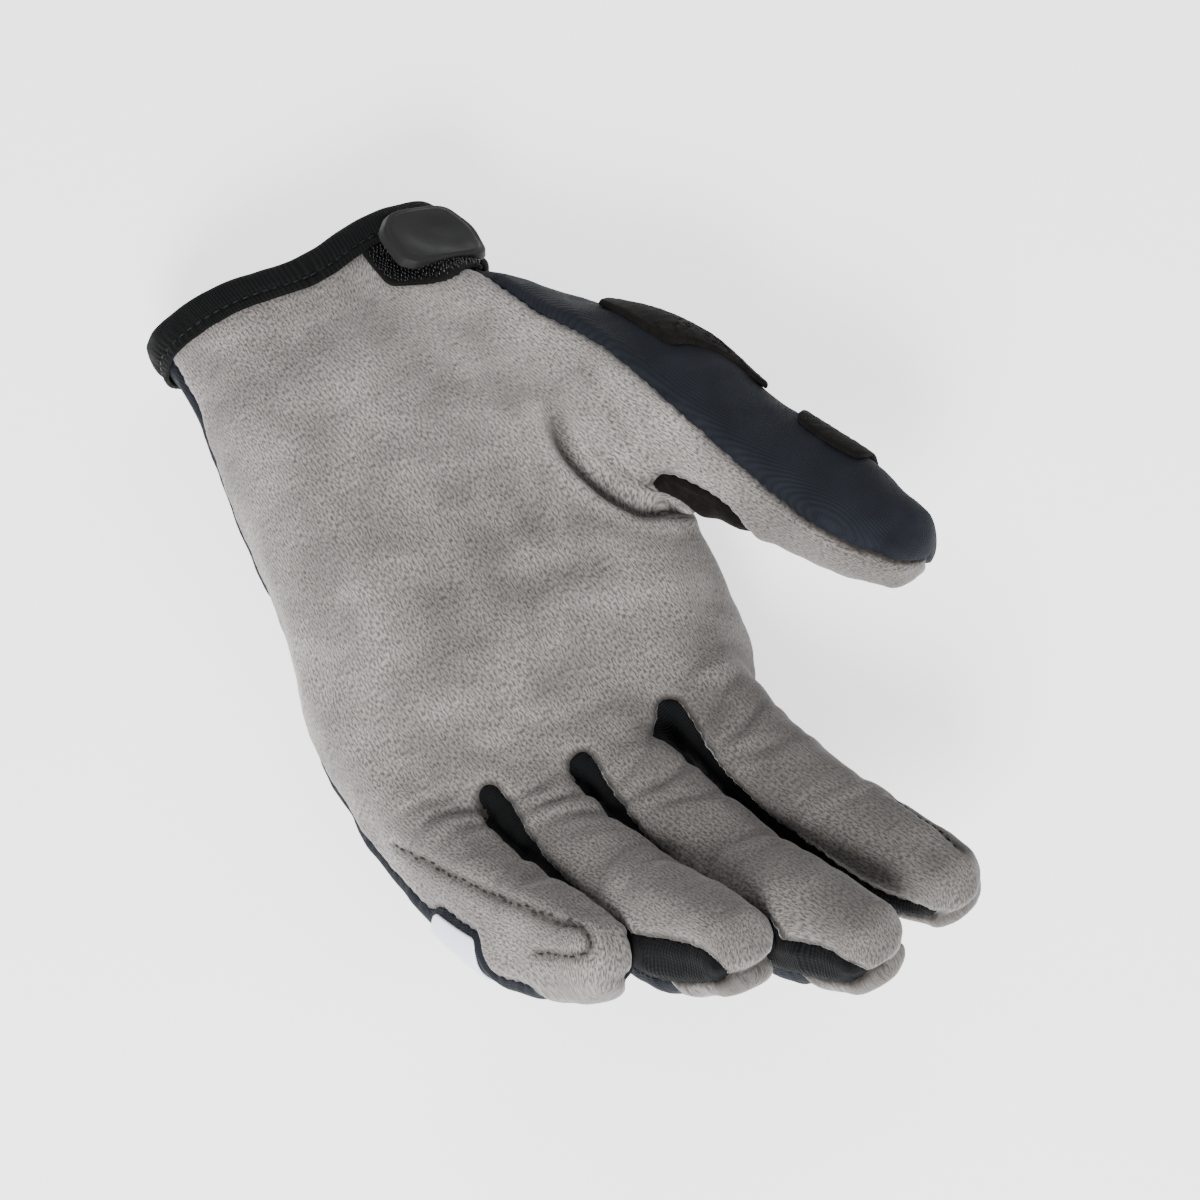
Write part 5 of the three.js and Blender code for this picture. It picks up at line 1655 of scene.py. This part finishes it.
@dataclass(frozen=True)
class Fastener:
    """Hook patch on the palm side of the wrist, strap round the wrist and moulded tab on its end."""

    hand: HandForm
    patch_size: tuple[float, float] = (25.0, 20.0)
    tab_size: tuple[float, float] = (25.0, 17.0)
    strap_width: float = 15.4
    strap_y: float = -69.8
    strap_turn: tuple[float, float] = (-0.86, -3.05)
    strap_run: float = 62.0
    middle: tuple[float, float, float] = (-32.2, -71.1, 29.2)
    tilt: float = -24.0
    turn: float = -6.0
    hook_pitch: float = 0.95
    hook_stagger: float = 0.87
    hook_level: float = 1.6
    hook_spread: float = 0.16
    binding_reach: float = 8.9
    tab_level: float = 5.4
    tab_bend: float = 0.006
    tab_shift: tuple[float, float, float] = (1.6, 0.4, 1.5)

    @property
    def axes(self) -> Array:
        """The fastener's own directions as columns: tilted about Y, then turned about its own Z."""
        return np.array(Matrix.Rotation(math.radians(self.tilt), 3, "Y") @ Matrix.Rotation(
            math.radians(self.turn), 3, "Z"))

    def _on_wrist(self, size: tuple[float, float]) -> Callable[[Array, Array], Array]:
        """Gives a function that lays outline shares on the cloth at a height."""
        def place(flat: Array, level: Array) -> Array:
            """Turns the shares into the fastener's own plane, and drops them on the cloth."""
            local = np.column_stack([flat * size, np.zeros(len(flat))])
            start = np.array(self.middle) + local @ self.axes.T
            return self.hand.settle(start, level, 4)[0]
        return place

    def _patch(self, dresser: Dresser) -> None:
        """Lays the base of the hook patch, and its hooks in staggered rows."""
        corners = ((-0.3, 0.45), (-0.14, 0.82), (0.1, 0.8), (0.64, 0.46), (0.68, -0.46), (-0.3, -0.46))
        plate = Plate("hook_patch_base", corners, plate_profile(0.3, 1.4, 0.06), roundness=0.3)
        base = plate.build(self._on_wrist(self.patch_size))
        dresser.dress(base, Finish.WEBBING, "hook_patch")
        length, width = self.patch_size
        columns = int(length * 1.1 / self.hook_pitch)
        rows = int(width * 1.5 / (self.hook_pitch * self.hook_stagger))
        u, v = np.meshgrid(np.arange(columns), np.arange(rows), indexing="ij")
        u = (u + 0.5 * (v % 2)).ravel() * self.hook_pitch / length - 0.34
        v = v.ravel() * self.hook_pitch * self.hook_stagger / width - 0.5
        outline = plate.ring() * 0.96 + plate.ring().mean(axis=0) * 0.04
        kept = inside_outline(outline, np.column_stack([u, v]))
        flat = np.column_stack([u, v])[kept]
        scatter = np.random.default_rng(7)
        moved = scatter.uniform(-self.hook_spread, self.hook_spread, flat.shape)
        flat = flat + moved * self.hook_pitch / np.array(self.patch_size)
        places = self._on_wrist(self.patch_size)(flat, np.full(len(flat), self.hook_level))
        # No hook grows through the binding.
        clear = places[:, 1] > rim_of(places[:, 0], np.ones(len(places))) + self.binding_reach
        places, flat = places[clear], flat[clear]
        angle = scatter.uniform(-0.7, 0.7, len(flat))
        along = self.axes[:, 1] * np.cos(angle)[:, None] + self.axes[:, 0] * np.sin(angle)[:, None]
        hooks = Stitches("hook_patch_hooks", 0.9, 0.18, 0.5).build(places, along, self.hand.out(places))
        dresser.dress(hooks, Finish.HOOKS)

    def _strap(self, dresser: Dresser) -> None:
        """Carries the strap's flat section round the thumb side of the wrist, from palm to back."""
        stations = 120
        around = np.linspace(*self.strap_turn, stations)
        half = self.strap_width / 2
        flat = np.linspace(-1, 1, 15)
        edge = np.array([0.3, 0.55, 0.8])
        v = np.concatenate([flat, np.full(3, 1.0), flat[::-1], np.full(3, -1.0)])
        w = np.concatenate([np.full(15, 1.0), 1 - edge, np.zeros(15), edge])
        bulged = 0.25 * np.sin(np.pi * w)
        y = self.strap_y + v * half + np.sign(v) * bulged * (np.abs(v) > 0.99)
        start = self.hand.palm.at((y[None] + CUFF_TO_ORIGIN) / PALM_LENGTH, around[:, None], 0.0)
        over_patch = smooth_step(start[..., 0], -44, -40.5) * (start[..., 2] > 15)
        level = 0.3 + 1.4 * over_patch + 1.3 * w[None]
        points, _ = self.hand.settle(start.reshape(-1, 3), level.ravel(), 4)
        columns = len(v)
        quads = grid_quads(stations, columns, False, True)
        points = np.vstack([points, points[:columns].mean(axis=0), points[-columns:].mean(axis=0)])
        ring = np.arange(columns)
        following = (ring + 1) % columns
        first, last = stations * columns, stations * columns + 1
        shift = (stations - 1) * columns
        triangles = np.concatenate([
            quads[:, [0, 1, 2]], quads[:, [0, 2, 3]],
            np.stack([np.full(columns, first), following, ring], 1),
            np.stack([np.full(columns, last), shift + ring, shift + following], 1),
        ])
        strap = mesh_object("strap_webbing", points, faced_out(points, triangles))
        run = np.repeat(np.linspace(0, self.strap_run, stations), columns)
        store(strap, "weave", np.column_stack([
            np.concatenate([np.tile(v * half, stations), [0, 0]]),
            np.concatenate([run, [0, self.strap_run]]), np.full(len(points), FAR_FROM_SEAM)]))
        dresser.dress(strap, Finish.WEBBING, "wrist_strap")

    def _tab(self, dresser: Dresser) -> None:
        """Moulds the tab: a walled edge, a bevel and a field dished off its middle."""
        corners = ((-0.5, 0.5), (-0.53, -0.05), (-0.33, -0.5), (0.32, -0.5), (0.5, -0.2), (0.47, 0.36),
                   (0.32, 0.5))
        inner = np.linspace(0.05, 0.72, 22)
        top = [(float(share), 6.0) for share in inner]
        rim = [(0.77, 6.05), (0.8, 6.05), (0.82, 6.0), (0.84, 5.85), (0.86, 5.78), (0.9, 5.76), (0.93, 5.7),
               (0.945, 5.55), (0.955, 5.3), (0.975, 4.6), (1.0, 3.8), (1.0, 3.6), (0.99, 3.4), (0.95, 3.3)]
        under = [(float(share), 3.3) for share in np.linspace(0.9, 0.05, 12)]
        plate = Plate("tab_moulding", corners, (*top, *rim, *under), columns=160, roundness=0.55)
        middle = self._on_wrist(self.tab_size)(np.zeros((1, 2)), np.full(1, self.tab_level))

        def place(flat: Array, level: Array) -> Array:
            """Sinks the middle of the top by a bell, and bends the whole tab a little down to its ends."""
            away = np.hypot((flat[:, 0] + 0.06) / 0.33, (flat[:, 1] - 0.04) / 0.3)
            sunk = 1.4 * np.exp(-(away**4)) * (level > 5.7)
            # The moulding is stiffer than the cloth, so it takes only a part of the wrist's curve.
            sag = self.tab_bend * (flat[:, 0] * self.tab_size[0]) ** 2
            local = np.column_stack([flat * self.tab_size, level - sunk - sag - self.tab_level])
            return middle + local @ self.axes.T + np.array(self.tab_shift)

        dresser.dress(plate.build(place), Finish.RUBBER, "closure_tab")

    def build(self, dresser: Dresser) -> None:
        """Makes the patch, the strap and the tab.

        Args:
            dresser: Gives the pieces their finishes.
        """
        self._patch(dresser)
        self._strap(dresser)
        self._tab(dresser)


def inside_outline(outline: Array, points: Array) -> Array:
    """Whether points lie in a closed outline, by counting its edges that a ray along X crosses."""
    a, b = outline[None], np.roll(outline, -1, axis=0)[None]
    x, y = points[:, :1], points[:, 1:]
    spans = (a[..., 1] > y) != (b[..., 1] > y)
    cross = a[..., 0] + (y - a[..., 1]) * (b[..., 0] - a[..., 0]) / (b[..., 1] - a[..., 1] + 1e-12)
    return (spans & (cross > x)).sum(axis=1) % 2 == 1


@dataclass(frozen=True)
class Patches:
    """Suede patches on the thumb's back and the plain white patch on the little finger."""

    hand: HandForm

    def _on_finger(self, name: str, rough: float = 0.0) -> Callable[[Array, Array], Array]:
        """Gives a function that lays shares and angles on a finger at a height."""
        finger = self.hand.fingers[name]

        def place(flat: Array, level: Array) -> Array:
            """Settles the points on the cloth, and follows the thumb's swelling and nap."""
            start = finger.at(flat[:, 0], flat[:, 1], 0.5)
            settled, out = self.hand.settle(start, level, 3)
            swell = self.hand.swell(finger.places(settled)) if name == "thumb" else 0.0
            fuzz = rough * (ripple(settled, 2.6, 5, 2) + 0.8 * ripple(settled, 1.1, 6, 1)) * (level > 0.8)
            return settled + out * (swell + fuzz)[:, None] if name == "thumb" else settled
        return place

    def build(self, dresser: Dresser) -> None:
        """Makes the three patches.

        Args:
            dresser: Gives the pieces their finishes.
        """
        base = ((0.285, -1.5), (0.33, -1.47), (0.4, -1.45), (0.45, -1.5), (0.5, -1.72), (0.55, -2.0),
                (0.61, -2.2), (0.6, -2.42), (0.5, -2.5), (0.36, -2.4), (0.3, -2.25))
        piece = Plate("thumb_base_suede", base, plate_profile(0.3, 1.7, 0.05, 22), 200, 0.5)
        dresser.dress(piece.build(self._on_finger("thumb", 0.06)), Finish.PATCH, "thumb_base_patch")
        knuckle = ((0.69, -1.95), (0.74, -1.9), (0.79, -1.92), (0.835, -2.05), (0.83, -3.1), (0.815, -4.6),
                   (0.77, -4.8), (0.73, -4.75), (0.7, -4.6), (0.67, -3.1))
        piece = Plate("thumb_knuckle_suede", knuckle, plate_profile(0.3, 1.55, 0.05, 22), 200, 0.5)
        dresser.dress(piece.build(self._on_finger("thumb", 0.06)), Finish.PATCH, "thumb_knuckle_patch")
        label = ((0.6, 1.64), (0.74, 1.62), (0.75, 3.1), (0.55, 3.1))
        piece = Plate("finger_label_film", label, plate_profile(0.3, 0.95, 0.04, 16), 160, 0.2)
        dresser.dress(piece.build(self._on_finger("little")), Finish.LABEL, "finger_label")


@dataclass(frozen=True)
class Studio:
    """Pale floor, and soft light from large panels."""

    floor: str = "f4f5f7"
    glow: float = 1.6
    reach: float = 2.4
    floor_z: float = -0.2
    sky: tuple[float, float, float, float] = (0.97, 0.985, 1.0, 1.0)
    sky_strength: float = 0.55
    lamps: tuple[tuple[str, tuple[float, float, float], float, float], ...] = (
        # Name, place in metres, diameter in metres, watts
        ("key", (0.65, 0.8, 0.72), 0.45, 30.0),
        ("fill", (-0.8, -0.7, 0.9), 1.1, 6.0),
    )

    def build(self) -> None:
        """Makes the floor, the world's even light and two large soft lamps."""
        side = self.reach / MM
        square = ((-1, -1), (1, -1), (1, 1), (-1, 1))
        corners = np.array([(x * side, y * side, self.floor_z) for x, y in square])
        floor = mesh_object("studio_floor", corners, np.array([[0, 1, 2, 3]]), smooth=False)
        s = Shader("painted_studio_floor_white")
        place = s.add("TexCoord").outputs["Object"]
        cloud = s.add("TexNoise", {"Vector": place, "Scale": 9.0, "Detail": 2.0}).outputs[0]
        # The floor shines a little by itself, so that it stays paler than the soft light alone makes it.
        s.surface.inputs["Emission Color"].default_value = (1.0, 1.0, 1.0, 1.0)
        s.surface.inputs["Emission Strength"].default_value = self.glow
        floor.data.materials.append(s.finish(s.blend(cloud, self.floor, "ffffff"), 0.9))
        world = bpy.data.worlds.new("studio")
        bpy.context.scene.world = world
        world.use_nodes = True
        world.node_tree.nodes["Background"].inputs["Color"].default_value = self.sky
        world.node_tree.nodes["Background"].inputs["Strength"].default_value = self.sky_strength
        for name, place, size, watts in self.lamps:
            data = bpy.data.lights.new(name, "AREA")
            data.shape = "DISK"
            data.size = size
            data.energy = watts
            lamp = bpy.data.objects.new(name, data)
            lamp.location = place
            lamp.rotation_euler = (-Vector(place)).to_track_quat("-Z", "Y").to_euler()
            bpy.context.scene.collection.objects.link(lamp)


def main() -> None:
    """Builds the glove piece by piece over the CAD frame."""
    logging.basicConfig(level=logging.INFO, format="%(name)s: %(message)s")
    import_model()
    Camera().build()
    Studio().build()
    hand = HandForm()
    dresser = Dresser()
    panels = Cloth(hand).build()
    finishes = {Panel.PALM: Finish.PALM, Panel.BACK: Finish.BACK, Panel.THUMB: Finish.PATCH}
    for panel, piece in panels.items():
        dresser.dress(piece, finishes.get(panel, Finish.GUSSET), panel.value)
    DartSeams(hand).build(dresser, panels[Panel.PALM])
    Cuff(hand).build(dresser)
    Fastener(hand).build(dresser)
    Patches(hand).build(dresser)


if __name__ == "__main__":
    main()
